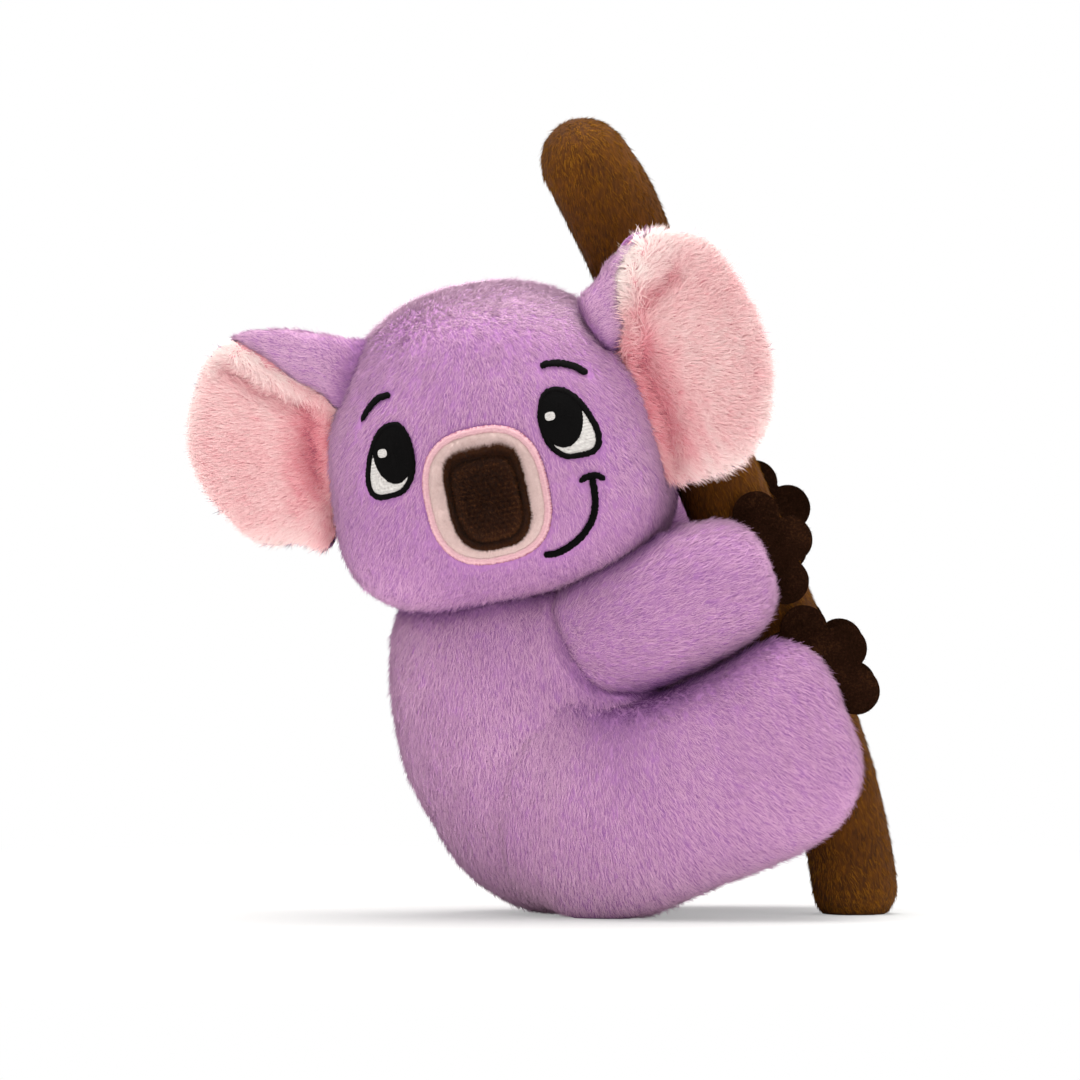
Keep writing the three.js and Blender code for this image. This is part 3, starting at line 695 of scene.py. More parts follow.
# the arms are sewn on softly, and the back is a little slimmer above the seat
armsAway = [limbAway["arm_right"], limbAway["arm_left"]]
meetSmoothly(torsoSkin, lambda points: np.minimum(torsoAway(points), 0.0), armsAway,
             backSet["armBlend"], backSet["mostArmBlend"])
backwards = smooth(-torsoSkin.normals[..., 0], 0.2, 0.9)
aboveSeat = bell(torsoSkin.points[..., 2] - backSet["waistAt"], backSet["waistReach"])
torsoSkin.push(-(backSet["slimmer"] + backSet["waist"] * aboveSeat) * backwards)
torsoSkin.push(waves(torsoSkin.points, 38, 5) * 0.7 - bodyPile["sink"])
torsoSkin.restOnFloor()
torsoSkin.mesh("torso_plush", "torso", lilacCloth, ["torso_skin", "torso_filling"], 0.7)


# down the back and belly, and more and more forwards along the thighs
def bodyComb(roots, normals):
    forward = smooth(roots[:, :1], 5, 75)
    return np.array([0.1, 0, -1]) + np.array([0.95, 0, 0.25]) * forward


for name, (strands, side, seed) in torsoPiles.items():
    def torsoShown(roots, normals):
        ownSide = (roots[:, 1] - rootShift[1]) * side >= 0
        return ownSide & outOf(roots, (headAway, 3), *((away, 4) for away in limbAway.values()))

    # painted shade on the torso's pile beside the head and the arms and in the hollow behind the
    # arm
    pileOn(name, torsoSkin, "torso", lilacPile, dict(bodyPile, strands=strands, seed=seed),
           bodyComb, torsoShown, None, shaded(openBeside([headAway, *armsAway], 5, -4), 0.45))
print("torso made")

# the knee is squarer than an oval: its end is blunt, and its top rises under the arm, row by
# row as far as there is room
kneeSet = dict(spot=75, reach=17, rise=7.5, room=-1.0, blunt=3.0)


def kneeRaised(skin, place, arm):
    k = kneeSet
    x, _, z = place.axes(skin.points)
    hump = k["rise"] * bell(x - k["spot"], k["reach"]) * smooth(z, 0, 22)
    up = place.turn[:, 2]
    share = np.zeros(len(x))
    for step in np.linspace(0.05, 1, 20):
        lifted = skin.points + up * (hump * step)[..., None]
        share = np.where(arm(lifted).min(1) > k["room"], step, share)
    share = np.convolve(np.pad(share, 3, "edge"), np.ones(7) / 7, "valid")
    skin.points = skin.points + up * (hump * share[:, None])[..., None]
    skin.settle()
    skin.push(-k["blunt"] * smooth(x, 68, 90) * (1 - smooth(z, 6, 22)))


strandShare = dict(arm_right=27000, arm_left=21000, leg_right=55000, leg_left=42000)
for number, (name, (setting, side, place)) in enumerate(limbs.items()):
    isLeg = name.startswith("leg")
    partner = limbAway[name.replace("leg", "arm") if isLeg else name.replace("arm", "leg")]
    skin = Skin(limbSurface(setting, side, place), 70, 80)
    if isLeg:
        meetSmoothly(skin, limbAway[name], [torsoAway], torsoSet["blend"], torsoSet["mostBlend"])
        kneeRaised(skin, place, partner)
    skin.push(waves(skin.points, 30, 20 + number) * 0.5 - bodyPile["sink"])
    skin.restOnFloor()
    skin.mesh(name + "_plush", name, lilacCloth, [name + "_skin", name + "_filling"], 0.65)
    buried = [(torsoAway, 3), (branchAway, 1)] + ([] if isLeg else [(headAway, 5)])
    # painted shade on the limb's pile beside the other limb, and for an arm beside the head too
    crowding = [partner] + ([] if isLeg else [headAway])
    pileOn(name + "_pile", skin, name, lilacPile,
           dict(bodyPile, seed=30 + number, strands=strandShare[name]),
           bodyComb if isLeg else combed(*(place.turn @ np.array([1, 0, -0.1]))),
           lambda roots, normals: outOf(roots, *buried), None,
           shaded(openBeside(crowding, 15 if isLeg else 8), 0.5 if isLeg else 0.2))
print("limbs made")

# felt paws: back and across say where the middle of a paw is, before the limb's end and up
# across it; the three lobes stand ring millimetres off it and spread degrees apart
handPaw = dict(back=4.2, across=2.9, ring=12.8, spread=58, turn=-1)
footPaw = dict(back=13.5, across=17, ring=17, spread=46, turn=20)
pawSets = {"hand_right": ("arm_right", handPaw), "hand_left": ("arm_left", handPaw),
           "foot_right": ("leg_right", footPaw),
           "foot_left": ("leg_left", dict(footPaw, across=18.5))}
feltPile = dict(strands=2400, length=0.9, width=0.09, rise=40, spread=20, unruly=1.5, clump=4.0,
                clumping=0.5)


# the reach of a three-lobed edge at each angle: the farthest of a disc and three lobe circles
def pawReach(angle, paw):
    reach = np.full(angle.shape, float(paw["ring"]))
    for lobe in (-1, 0, 1):
        off = angle - (paw["turn"] + lobe * paw["spread"]) * rad
        inside = feltSet["lobe"] ** 2 - (paw["ring"] * np.sin(off)) ** 2
        far = paw["ring"] * np.cos(off) + np.sqrt(np.maximum(inside, 0))
        reach = np.where((inside > 0) & (np.cos(off) > 0), np.maximum(reach, far), reach)
    return reach


# a flat felt plate with rounded edges: out along one face and back along the other
def pawSurface(limb, paw):
    s, side, place = limb

    def surface(u, v):
        angle = 2 * math.pi * v
        out = np.minimum(1, 1 - np.abs(2 * u - 1) ** 3)
        face = np.where(u < 0.5, -1, 1) * (1 - np.clip(1.0 - np.abs(2 * u - 1) * 14, 0, 1) ** 2)
        reach = pawReach(angle, paw) * out
        lift = feltSet["thick"] / 2 * face * np.minimum(1, 0.9 + 0.1 * out)
        ruffle = 0.35 * out ** 4 * np.sin(3 * angle + side)
        middle = side * (branchSet["radius"] + feltSet["gap"] + feltSet["thick"] / 2 - s["depth"])
        return place.out(xyz(
            2 * s["halfLength"] - s["behind"] - paw["back"] + reach * np.cos(angle),
            middle + lift + ruffle * side, paw["across"] + reach * np.sin(angle)))
    return surface


for number, (name, (limbName, paw)) in enumerate(pawSets.items()):
    skin = Skin(pawSurface(limbs[limbName], paw), 36, 160)
    skin.push(waves(skin.points, 9, 60 + number) * 0.12)
    skin.mesh(name + "_paw", limbName, brownFelt, [name + "_felt"])
    pileOn(name + "_fuzz", skin, limbName, feltFuzz, dict(feltPile, seed=70 + number),
           combed(1, 0, 0.3))
print("paws made")


class Outline:  # a closed line on the face round its middle, in millimetres across and up
    def __init__(self, points):
        self.points = np.asarray(points, float)
        self.middle = (self.points.max(0) + self.points.min(0)) / 2
        off = self.points - self.middle
        angles = np.arctan2(off[:, 1], off[:, 0]) % math.tau
        order = np.argsort(angles)
        self.angles, self.radii = angles[order], np.hypot(off[:, 0], off[:, 1])[order]

    def reach(self, angle):
        return np.interp(angle % math.tau, self.angles, self.radii, period=math.tau)

    def grown(self, amount):
        ahead = np.roll(self.points, -1, 0) - np.roll(self.points, 1, 0)
        return Outline(self.points + unit(xyz(ahead[:, 1], -ahead[:, 0])) * amount)

    # the place at a share of the way out from the middle, at the angle v of a full turn
    def spot(self, share, v):
        reach = self.reach(math.tau * v) * share
        return (self.middle[0] + reach * np.cos(math.tau * v),
                self.middle[1] + reach * np.sin(math.tau * v))

    def level(self, x, z):  # 1 on the line, less inside it
        off = x - self.middle[0], z - self.middle[1]
        return np.hypot(*off) / self.reach(np.arctan2(off[1], off[0]))


def between(a, b, c, d, f):  # a smooth line from b to c, heading as a and d tell
    return 0.5 * (2 * b + (c - a) * f + (2 * a - 5 * b + 4 * c - d) * f ** 2
                  + (3 * b - a - 3 * c + d) * f ** 3)


def closedLine(spots, count=240):
    t = np.arange(count) / count * len(spots)
    i = t.astype(int)
    return between(*(spots[(i + k) % len(spots)] for k in (-1, 0, 1, 2)), (t % 1)[:, None])


def openLine(spots, count=80):
    spots = np.array(spots, float)
    ends = 2 * spots[:1] - spots[1:2], 2 * spots[-1:] - spots[-2:-1]
    padded = np.concatenate([ends[0], spots, ends[1]])
    t = np.linspace(0, len(spots) - 1 - 1e-6, count)
    i = t.astype(int)
    return between(*(padded[i + k] for k in range(4)), (t % 1)[:, None])


# |x/w|^p + |z/h|^p = 1, with its own power above and below the middle
def roundedLine(x, z, wide, high, above, below, count=240):
    angle = np.arange(count) / count * math.tau
    c, s = np.cos(angle), np.sin(angle)
    power = np.where(s > 0, above, below)
    reach = 1 / (np.abs(c) ** power + np.abs(s) ** power) ** (1 / power)
    return xyz(x + wide * reach * c, z + high * reach * s)


# the face, in millimetres across and up from the middle of the head; the eye is an oval whose
# foot leans outwards and is nearly flat, given for the left side
eyeLine = [(-7.6, -4.8), (-5.8, -8.1), (-2.7, -10.6), (1.4, -11.2), (5.6, -10.8), (7.9, -8.6),
           (8.4, -5.0), (7.6, -1.0), (5.9, 3.4), (3.4, 7.6), (0.2, 10.4), (-3.5, 11.1),
           (-6.0, 10.0), (-7.4, 7.6), (-8.4, 4.0), (-8.5, -0.4)]
faceSet = dict(
    muzzle=dict(x=0.1, z=-13.4, wide=18.7, high=20.5, above=2.6, below=2.6),
    nose=dict(x=0.6, z=-14.6, wide=11.7, high=14.8, above=4.2, below=2.9),
    eyes={right: (-27.1, 2.6), left: (27.9, 2.8)},
    pupil=dict(x=-1.8, z=2.0, wide=6.4, high=9.5),
    sparks={right: (-28.4, 5.1), left: (23.1, 5.6)},
    spark=dict(wide=1.55, high=1.35, above=2.6, below=2.6),
    browEnds={right: (0.25, 0.9), left: (0.85, 0.8)},
    stroke=1.05,
)
# pitch: the width of one stitch; ragged: how far the ends of the stitches stand out;
# ending: the length over which a stroke closes
threadSet = dict(pitch=0.4, ragged=0.14, lift=0.3, thick=1.0, ending=0.7)
strokes = {
    "brow_right": [(-33.7, 15.5), (-31.4, 18.2), (-28.7, 20.4), (-26.0, 21.5), (-22.9, 21.6)],
    "brow_left": [(22.6, 20.6), (24.9, 20.9), (28.2, 20.3), (31.3, 19.0), (33.6, 17.3),
                  (35.4, 15.6)],
    "smile": [(12.3, -34.2), (15.6, -34.6), (19.5, -33.7), (23.5, -31.8), (26.8, -29.2),
              (29.3, -25.9), (30.7, -22.2), (31.2, -18.6), (31.3, -14.9)],
    "cheek": [(27.5, -15.3), (29.3, -14.4), (31.4, -14.2), (33.4, -14.8), (34.8, -16.3)],
}
strokes = {name: openLine(spots) for name, spots in strokes.items()}
muzzleLine = Outline(roundedLine(**faceSet["muzzle"]))
noseLine = Outline(roundedLine(**faceSet["nose"]))
eyeLines = {side: Outline(closedLine(np.array(eyeLine)[::side] * [side, 1]) + spot)
            for side, spot in faceSet["eyes"].items()}


# how far places on the face are from the embroidery, kept on a fine grid
def facePlan(step=0.25):
    across, up = np.arange(-46, 46, step), np.arange(-44, 34, step)
    x, z = np.meshgrid(across, up, indexing="ij")
    gap = np.full(x.shape, 1e3)
    for spot in np.concatenate(list(strokes.values())):
        gap = np.minimum(gap, np.hypot(x - spot[0], z - spot[1]) - faceSet["stroke"])
    for line in (muzzleLine, *eyeLines.values()):
        gap = np.where(line.level(x, z) < 1, -1, gap)
        for spot in line.points:
            gap = np.where(gap < 0, gap, np.minimum(gap, np.hypot(x - spot[0], z - spot[1])))

    def faceGap(points):
        x, y, z = headPlace.axes(points)
        i = np.clip(((x - across[0]) / step).round().astype(int), 0, len(across) - 1)
        j = np.clip(((z - up[0]) / step).round().astype(int), 0, len(up) - 1)
        return np.where(y < 0, gap[i, j], 1e3)
    return faceGap


faceGap = facePlan()
headPiles = {"head_pile_front": (66000, True, 41), "head_pile_back": (44000, False, 42)}
headPile = dict(bodyPile, length=3.0, width=0.26, clumping=0.22, sink=0.7, upright=10)
headSkin = Skin(headSurface, 110, 150)
behindFace = smooth(headPlace.into(headSkin.points)[..., 1], -36, -14)
headSkin.push((waves(headSkin.points, 34, 8) * 0.6 - headPile["sink"]) * behindFace)
headSkin.mesh("head_plush", "head", headCloth, ["head_skin", "head_filling"], 0.75)


# strands that would lie over the embroidery are cut short before it
def clearOfPatches(roots, way, length):
    share = np.ones(length.shape)
    for shorter in np.arange(0.9, 0.05, -0.1):
        over = faceGap(roots + way * length * (shorter + 0.1)) < -0.1
        share[over] = shorter
    gap = faceGap(roots)[:, None]
    return np.where(gap < -0.05, 0, share * (0.78 + 0.22 * smooth(gap, 0, 3.5)))


# down and outwards from the middle of the face, and all to one side over the top
def downTheHead(roots, normals):
    x = headPlace.into(roots)[:, :1]
    side = headPlace.turn @ np.array([1, 0, 0])
    top = smooth(normals[:, 2:], 0.35, 0.95)
    across = 0.75 * x / headSet["halfWidth"] * (1 - top) + top
    return side * across + np.array([0, -0.3, 0]) * top + np.array([0, 0, -1])


def headLightAndShade(roots, normals):  # painted light on top, and painted shade below the cheeks and beside the torso and the branch
    up = normals[:, 2]
    return (openBeside([torsoAway, branchAway], 6)(roots, normals)
            + 1.0 * smooth(up, 0.55, 0.9) - 0.2 * (1 - smooth(up, -0.45, 0.2)))


for name, (strands, isFront, seed) in headPiles.items():
    def headShown(roots, normals):
        front = headPlace.into(roots)[:, 1] < 0
        return (front == isFront) & outOf(roots, (torsoAway, 4), (branchAway, 1.5))

    pileOn(name, headSkin, "head", lilacPile, dict(headPile, strands=strands, seed=seed),
           downTheHead, headShown, clearOfPatches, headLightAndShade)
print("head made")


def onFace(x, z, raised):  # a point that far before the head's surface
    return headPlace.out(xyz(x, -faceDepth(x, z) - raised, z))


def ridgeOn(piece, skin, values):
    if not skin.ring:
        values = np.concatenate([values[1:-1].ravel(), values[0, :1], values[-1, :1]])
    attribute = piece.data.attributes.new("ridge", "FLOAT", "POINT")
    attribute.data.foreach_set("value", values.ravel().astype(np.float32))


# a cushion on the face: out along its back and home along its front, thick(share) deep;
# rows of thread lie across it, and its edge is as ragged as the ends of the stitches
def discOn(name, line, finish, replaced, thick, lift, rows, columns, pitch=0, within=None,
           ragged=0.12):
    ends = np.random.default_rng(len(name) * 7 + rows).uniform(-1, 1, columns)

    def surface(u, v):
        share = 1 - np.abs(2 * u - 1) ** 1.4
        if pitch:
            share = share * (1 + ragged / 6 * ends[None, :] * smooth(share, 0.85, 1))
        x, z = line.spot(share, v)
        if within is not None:
            level = np.maximum(within.level(x, z), 1)
            x = within.middle[0] + (x - within.middle[0]) / level
            z = within.middle[1] + (z - within.middle[1]) / level
        return onFace(x, z, np.where(u < 0.5, lift, lift + thick(share, x, z)))

    skin = Skin(surface, rows, columns)
    piece = skin.mesh(name, "head", finish, replaced)
    if pitch:
        x, _, z = headPlace.axes(skin.points)
        dots = np.cos(math.tau * (x / 1.1 + np.floor(z / pitch) * 0.5))
        # painted light and shade on the thread: lighter along the crown of each row of stitches,
        # darker between rows
        ridgeOn(piece, skin, 0.62 + 0.38 * np.cos(math.tau * z / pitch) * (dots * 0.5 + 0.5))
    return skin


# a sewn rim: a loop round its section, with stitches side by side along the outline
def rimOn(name, line, finish, replaced, width, lift, thick, stitches, groove=0.0):
    ends = np.random.default_rng(stitches).uniform(-1, 1, (2, stitches))
    inner = line.grown(-width)

    def ridge(v):
        return np.abs(np.sin(math.pi * v * stitches)) ** 0.7

    def stitchAt(v):
        return np.minimum((v * stitches).astype(int), stitches - 1)

    def outAt(u):  # 0 at the inner edge of the rim, 1 at the outer edge
        return 0.5 - 0.5 * np.cos(math.tau * u)

    def surface(u, v):
        out = outAt(u)
        jitter = threadSet["ragged"] * np.where(out > 0.5, *ends[:, stitchAt(v)])
        out = out + jitter / width * (np.abs(out - 0.5) * 2) ** 3
        x0, z0 = inner.spot(1, v)
        x1, z1 = line.spot(1, v)
        top = np.maximum(0, -np.sin(math.tau * u)) ** 0.5
        dent = 1 - groove * bell(out - 0.42, 0.08)
        raised = lift + thick * top * (0.82 + 0.18 * ridge(v)) * dent
        return onFace(x0 + (x1 - x0) * out, z0 + (z1 - z0) * out, raised)

    skin = Skin(surface, 16 if groove else 12, stitches * 3, ring=True)
    piece = skin.mesh(name, "head", finish, replaced)
    out = outAt(skin.u)
    # painted highlight on each stitch's crown; the rim is also darker towards its ragged outer
    # edge and along its groove
    tint = 0.7 + 0.3 * ridge(skin.v)
    tint = tint - smooth(out, 0.72, 0.95) * (0.65 + 0.45 * ends[1][stitchAt(skin.v)])
    ridgeOn(piece, skin, tint * (1 - (0.5 if groove else 0) * bell(out - 0.42, 0.09)))


# a satin stroke: a flat tube along a line on the face, rounded at both ends;
# half width = stroke * (end + (1 - end) * sqrt(sin(pi * u))), with an end of its own on each side
def strokeOn(name, line, ends, replaced=()):
    t, length = threadSet, np.linalg.norm(np.diff(line, axis=0), axis=1).sum()
    stitches = int(length / t["pitch"])
    ragged = np.random.default_rng(stitches).uniform(-1, 1, (stitches + 1, 2))

    def ridge(u):
        return np.abs(np.sin(math.pi * u * stitches))

    def surface(u, v):
        at = u * (len(line) - 1)
        low = np.minimum(at.astype(int), len(line) - 2)
        spot = line[low] + (line[low + 1] - line[low]) * (at - low)[..., None]
        way = unit(line[low + 1] - line[low])
        angle = math.tau * v
        closing = np.minimum(1, np.minimum(u, 1 - u) * length / t["ending"]) ** 0.5
        end = ends[0] + (ends[1] - ends[0]) * u
        wide = faceSet["stroke"] * (end + (1 - end) * np.sqrt(np.sin(math.pi * u))) * closing
        stitch = np.minimum((u * stitches).astype(int), stitches - 1)
        side = np.where(np.cos(angle) > 0, ragged[stitch, 0], ragged[stitch, 1])
        off = (wide + t["ragged"] * side * closing) * np.cos(angle)
        top = np.maximum(0, np.sin(angle)) ** 0.6
        raised = t["lift"] + t["thick"] * top * (0.8 + 0.2 * ridge(u)) * closing
        return onFace(spot[..., 0] - way[..., 1] * off, spot[..., 1] + way[..., 0] * off, raised)

    skin = Skin(surface, stitches * 4, 18)
    # painted highlight on each stitch's crown, painted shade between the stitches
    ridgeOn(skin.mesh(name, "head", blackThread, replaced), skin, ridge(skin.u))


def evenly(thick, pitch=0.42, depth=0.1):  # an even layer with a fine ridge for each thread
    return lambda share, x, z: (thick - depth * (0.5 - 0.5 * np.cos(math.tau * z / pitch))
                                ) * (1 - smooth(share, 0.94, 1.0) * 0.6)


muzzleSkin = discOn("muzzle_velvet", muzzleLine.grown(-1.6), creamCloth, ["muzzle_patch"],
                    lambda share, x, z: 1.5 * (1 - 0.5 * smooth(share, 0.9, 1)),
                    lift=0.2, rows=24, columns=140)
rimOn("muzzle_satin", muzzleLine, roseThread, ["muzzle_border"], width=2.4, lift=0.25,
      thick=1.5, stitches=310, groove=0.16)
muzzlePile = dict(strands=15000, seed=51, length=1.1, width=0.16, rise=38, spread=12,
                  unruly=0.4, clump=5.0, clumping=0.3)


def muzzleShown(roots, normals):
    x, y, z = headPlace.axes(roots)
    return (-y > faceDepth(x, z) + 1.0) & (noseLine.level(x, z) > 0.94)


pileOn("muzzle_pile", muzzleSkin, "head", creamPile, muzzlePile, combed(0, 0, -1), muzzleShown)

# the nose is a cushion with a stitched line sunk along its edge and rows of small loops inside
noseSet = dict(lift=2.0, seam=0.83, seamWide=0.035, seamDeep=1.3, thick=2.6, loopWide=1.8,
               loopHigh=1.5, loopShift=0.37, loopDeep=0.4)
nosePileSet = dict(strands=16000, seed=53, length=1.3, width=0.2, rise=34, spread=16,
                   unruly=0.5, clump=1.4, clumping=0.9)


def noseLoops(x, z):  # a wave along each row of loops, and one across the rows
    row = np.floor(z / noseSet["loopHigh"])
    return (np.cos(math.tau * (x / noseSet["loopWide"] + row * noseSet["loopShift"])),
            np.cos(math.tau * z / noseSet["loopHigh"]))


def noseThick(share, x, z):
    n = noseSet
    sunk = bell(share - n["seam"], n["seamWide"])
    along, over = noseLoops(x, z)
    return (n["thick"] * (1 - 0.25 * share ** 4) * (1 - smooth(share, 0.93, 1) * 0.5)
            - n["seamDeep"] * sunk + n["loopDeep"] * (along * over)
            * (1 - smooth(share, 0.62, 0.76)))


def noseShown(roots, normals):
    x, y, z = headPlace.axes(roots)
    offSeam = np.abs(noseLine.level(x, z) - noseSet["seam"])
    return (-y > faceDepth(x, z) + 2.4) & (offSeam > 0.028)


def noseComb(roots, normals):  # outwards at the edge, sideways in the middle
    x, _, z = headPlace.axes(roots)
    edge = smooth(noseLine.level(x, z), 0.76, 0.86)[:, None]
    out = unit(xyz(x - faceSet["nose"]["x"], 0, z - faceSet["nose"]["z"]))
    return out * edge + np.array([0.6, 0, -0.7]) * (1 - edge)


# painted light and shade on the nose: each loop lighter on top and darker between loops, lighter
# towards the seam, and darker along the sunk seam
def noseLightAndShade(roots, normals):
    x, _, z = headPlace.axes(roots)
    share = noseLine.level(x, z)
    along, over = noseLoops(x, z)
    loops = (0.5 + 0.5 * along) * (0.5 + 0.5 * over)
    inside = 0.32 + 0.85 * loops + 0.35 * smooth(share, 0.5, 0.75)
    return smooth(np.abs(share - noseSet["seam"]), 0.015, 0.06) * np.where(
        share < noseSet["seam"], inside, 0.72)


def noseTrim(roots, way, length):  # longest along the top edge
    x, _, z = headPlace.axes(roots)
    return (1 + 0.75 * smooth(noseLine.level(x, z), 0.8, 0.95) * smooth(z, -8, 2))[:, None]


noseSkin = discOn("nose_plush", noseLine, noseCloth, ["nose"], noseThick,
                  lift=noseSet["lift"], rows=64, columns=180)
pileOn("nose_pile", noseSkin, "head", nosePile, nosePileSet, noseComb, noseShown, noseTrim,
       noseLightAndShade)

for side, hand in ((right, "right"), (left, "left")):
    eye, middle = eyeLines[side], faceSet["eyes"][side]
    pupil, spark = faceSet["pupil"], faceSet["sparks"][side]
    rimOn("eye_outline_" + hand, eye, blackThread, ["eye_rim_" + hand], width=1.8, lift=0.25,
          thick=1.0, stitches=130)
    discOn("eye_ball_" + hand, eye.grown(-1.5), whiteThread, ["eye_white_" + hand],
           evenly(0.62, 1.0), lift=0.25, rows=32, columns=150, pitch=0.95)
    pupilLine = Outline(roundedLine(middle[0] + pupil["x"] * side, middle[1] + pupil["z"],
                                    pupil["wide"], pupil["high"], 2, 2))
    discOn("pupil_thread_" + hand, pupilLine, blackThread, ["pupil_" + hand], evenly(0.78),
           lift=0.3, rows=30, columns=120, pitch=0.42, within=eye.grown(-1.2), ragged=0.3)
    discOn("eye_spark_" + hand, Outline(roundedLine(*spark, **faceSet["spark"])), whiteThread,
           ["eye_highlight_" + hand], evenly(0.85), lift=0.4, rows=12, columns=40, pitch=0.5)
    brow = "brow_" + hand
    strokeOn("brow_thread_" + hand, strokes[brow], faceSet["browEnds"][side], [brow])
strokeOn("smile_thread", strokes["smile"], (0.85, 0.85), ["smile"])
strokeOn("cheek_thread", strokes["cheek"], (0.5, 0.5))
print("face made")

earSet = dict(halfWidth=25, reach=66, inset=4, forward=6, cup=7, rootShare=0.7, back=5, lining=8)
foldSet = dict(wider=1.04, thick=6.6, thinner=3.6, forward=3.2, headPower=6, endPower=2.2)
creaseSet = dict(roll=1.4, rollWide=2.8, deep=2.2, wide=3.0)
# lines on each ear, from the head outwards, in millimetres out from the hinge and up;
# bite: how much of its round outline is missing, about which angle and how widely;
# root: where its pile spreads from; tucked: how far the fold's top edge goes back at the head;
# rootLow, corner: how much fuller it is below towards the head, and at its top corner
earSides = {
    "ear_right": dict(
        side=right, high=34, rise=11.4, tilt=12, bite=(0.15, -52, 36), root=(-12, 3),
        foldTop=[(-18, 27.5), (-10, 29.6), (-2, 30.6), (6.5, 32.2), (14, 33.0), (21, 33.4),
                 (26, 33.2), (30.2, 31.6)],
        foldLow=[(-8, 5), (-1, 11.0), (3.5, 15.0), (9, 17.2), (14, 20.2), (20, 24.4),
                 (26, 27.4), (30.0, 30.0)],
        ridge=[(1.5, 10.5), (3.9, 12.0), (8.5, 13.6), (13.5, 16.3), (18.5, 19.8), (23.5, 23.2),
               (28.0, 25.9)],
        crease=[(-2.5, -28), (1.9, -13), (5.5, -1.2), (5.5, 7.6), (11, 10.7), (16, 12.7),
                (21, 14.7), (26, 18.1), (31, 20.6)],
        brushed=(-0.7, 0, -0.6), pile=dict(length=3.6, clump=4.5, clumping=0.3),
        tuft=0.0, lift=4.0, rootLow=1.6, rootPower=4, corner=0.05, tucked=8),
    "ear_left": dict(
        side=left, high=38.5, rise=16.5, tilt=4, bite=(0.16, 30, 42), root=(-3, 1),
        foldTop=[(-12, 17), (-10.6, 20.5), (-5.4, 25.0), (-0.3, 30.8), (7.1, 35.4),
                 (12.5, 38.0)],
        foldLow=[(-4, 2), (0.5, 9), (1.4, 17), (1.0, 25), (5, 31.8), (12.5, 37.4)],
        ridge=[(4, 6), (4.5, 16), (4.6, 26), (9, 33)],
        crease=[(9, -31), (9, -21), (7, -12), (3.8, 0), (5, 11.3), (7.2, 15.3), (11.5, 19.5),
                (15.5, 22.6)],
        brushed=(-0.8, 0, 0.35), pile=dict(length=4.3, clump=4.2, clumping=0.7),
        tuft=0.5, lift=0.0, rootLow=0.7, rootPower=2, corner=0.0, tucked=0),
}
earBackPile = dict(bodyPile, strands=12000, length=2.8, rise=20, spread=9, clumping=0.22)
earFoldPile = dict(earBackPile, strands=7500, length=2.2)
earLiningPile = dict(strands=27000, width=0.3, rise=25, spread=11, unruly=0.26,
                     mottled=0.5, heave=18)
earMiddle = earSet["reach"] - (headSet["halfWidth"] - earSet["inset"])


def earPlace(s):
    out = headSet["halfWidth"] - earSet["inset"]
    turn = turnY(s["tilt"] * rad) @ np.diag([s["side"], 1, 1])
    return Place(turn, [s["side"] * out, -earSet["forward"], s["rise"]], headPlace)


def earFull(x, z, s):  # fuller towards the head, above and below
    below = s["rootLow"] * np.abs(x) ** s["rootPower"]
    return np.where(x < 0, 1 + np.where(z < 0, below, earSet["rootShare"] * x ** 2), 1)


def nearLine(x, z, line):  # the distance from places to a line of points
    away = np.full(x.shape, 1e9)
    for spot in openLine(line, 60):
        away = np.minimum(away, np.hypot(x - spot[0], z - spot[1]))
    return away


# a cushion with one side on the ear's cupped middle sheet and the other domed away from it
def earLayer(s, inset, gap, thick, relief=None):
    place = earPlace(s)
    amount, middle, width = s["bite"]

    def surface(u, v):
        polar, angle = math.pi * u, math.tau * v
        x, y, z = np.sin(polar) * np.cos(angle), np.sin(polar) * np.sin(angle), -np.cos(polar)
        around = np.arctan2(z, x) / rad
        bitten = 1 - amount * bell(around - middle, width) * (x ** 2 + z ** 2)
        bitten = bitten + s["corner"] * bell(around - 50, 20)
        stand = gap + np.maximum(0, y * thick)
        outX = earMiddle + (earSet["halfWidth"] - inset) * x * bitten
        outZ = (s["high"] - inset) * z * earFull(x, z, s) * bitten
        if relief is not None:
            stand = np.where(y * thick > 0, stand + relief(outX, outZ), stand)
        sheet = -earSet["cup"] * (x ** 2 + z ** 2)
        return place.out(xyz(outX, sheet + math.copysign(1, thick) * stand, outZ))
    return surface


# the back cloth turned over to the front: a flattened roll between the ear's edge and the line
# where the lining starts, thick at the head and thin at its end
def earFold(s, rows=120):
    place, f = earPlace(s), foldSet
    top, low = openLine(s["foldTop"], rows + 1), openLine(s["foldLow"], rows + 1)

    def surface(u, v):
        at = np.clip((u * rows).astype(int), 0, rows)
        middle, half = (top[at] + low[at]) / 2, (top[at] - low[at]) / 2
        closing = swell(2 * u - 1, np.where(u < 0.5, f["headPower"], f["endPower"]))
        angle = math.tau * v
        flat = middle + half * (f["wider"] * closing * np.cos(angle))[..., None]
        x, z = (flat[..., 0] - earMiddle) / earSet["halfWidth"], flat[..., 1] / s["high"]
        thick = (f["thick"] - f["thinner"] * u) * closing
        roll = np.where(np.sin(angle) > 0, 1, 0.6) * np.sin(angle) * thick
        # its top edge goes back into the head's outline
        back = s["tucked"] * (1 - smooth(u, 0.05, 0.45)) * (0.5 + 0.5 * np.cos(angle))
        sheet = (-earSet["cup"] * np.minimum(x ** 2 + z ** 2, 1) - f["forward"] * (1 - u)
                 - s["lift"] * np.sin(math.pi * u) ** 0.7 - roll + back)
        return place.out(xyz(flat[..., 0], sheet, flat[..., 1]))
    return surface


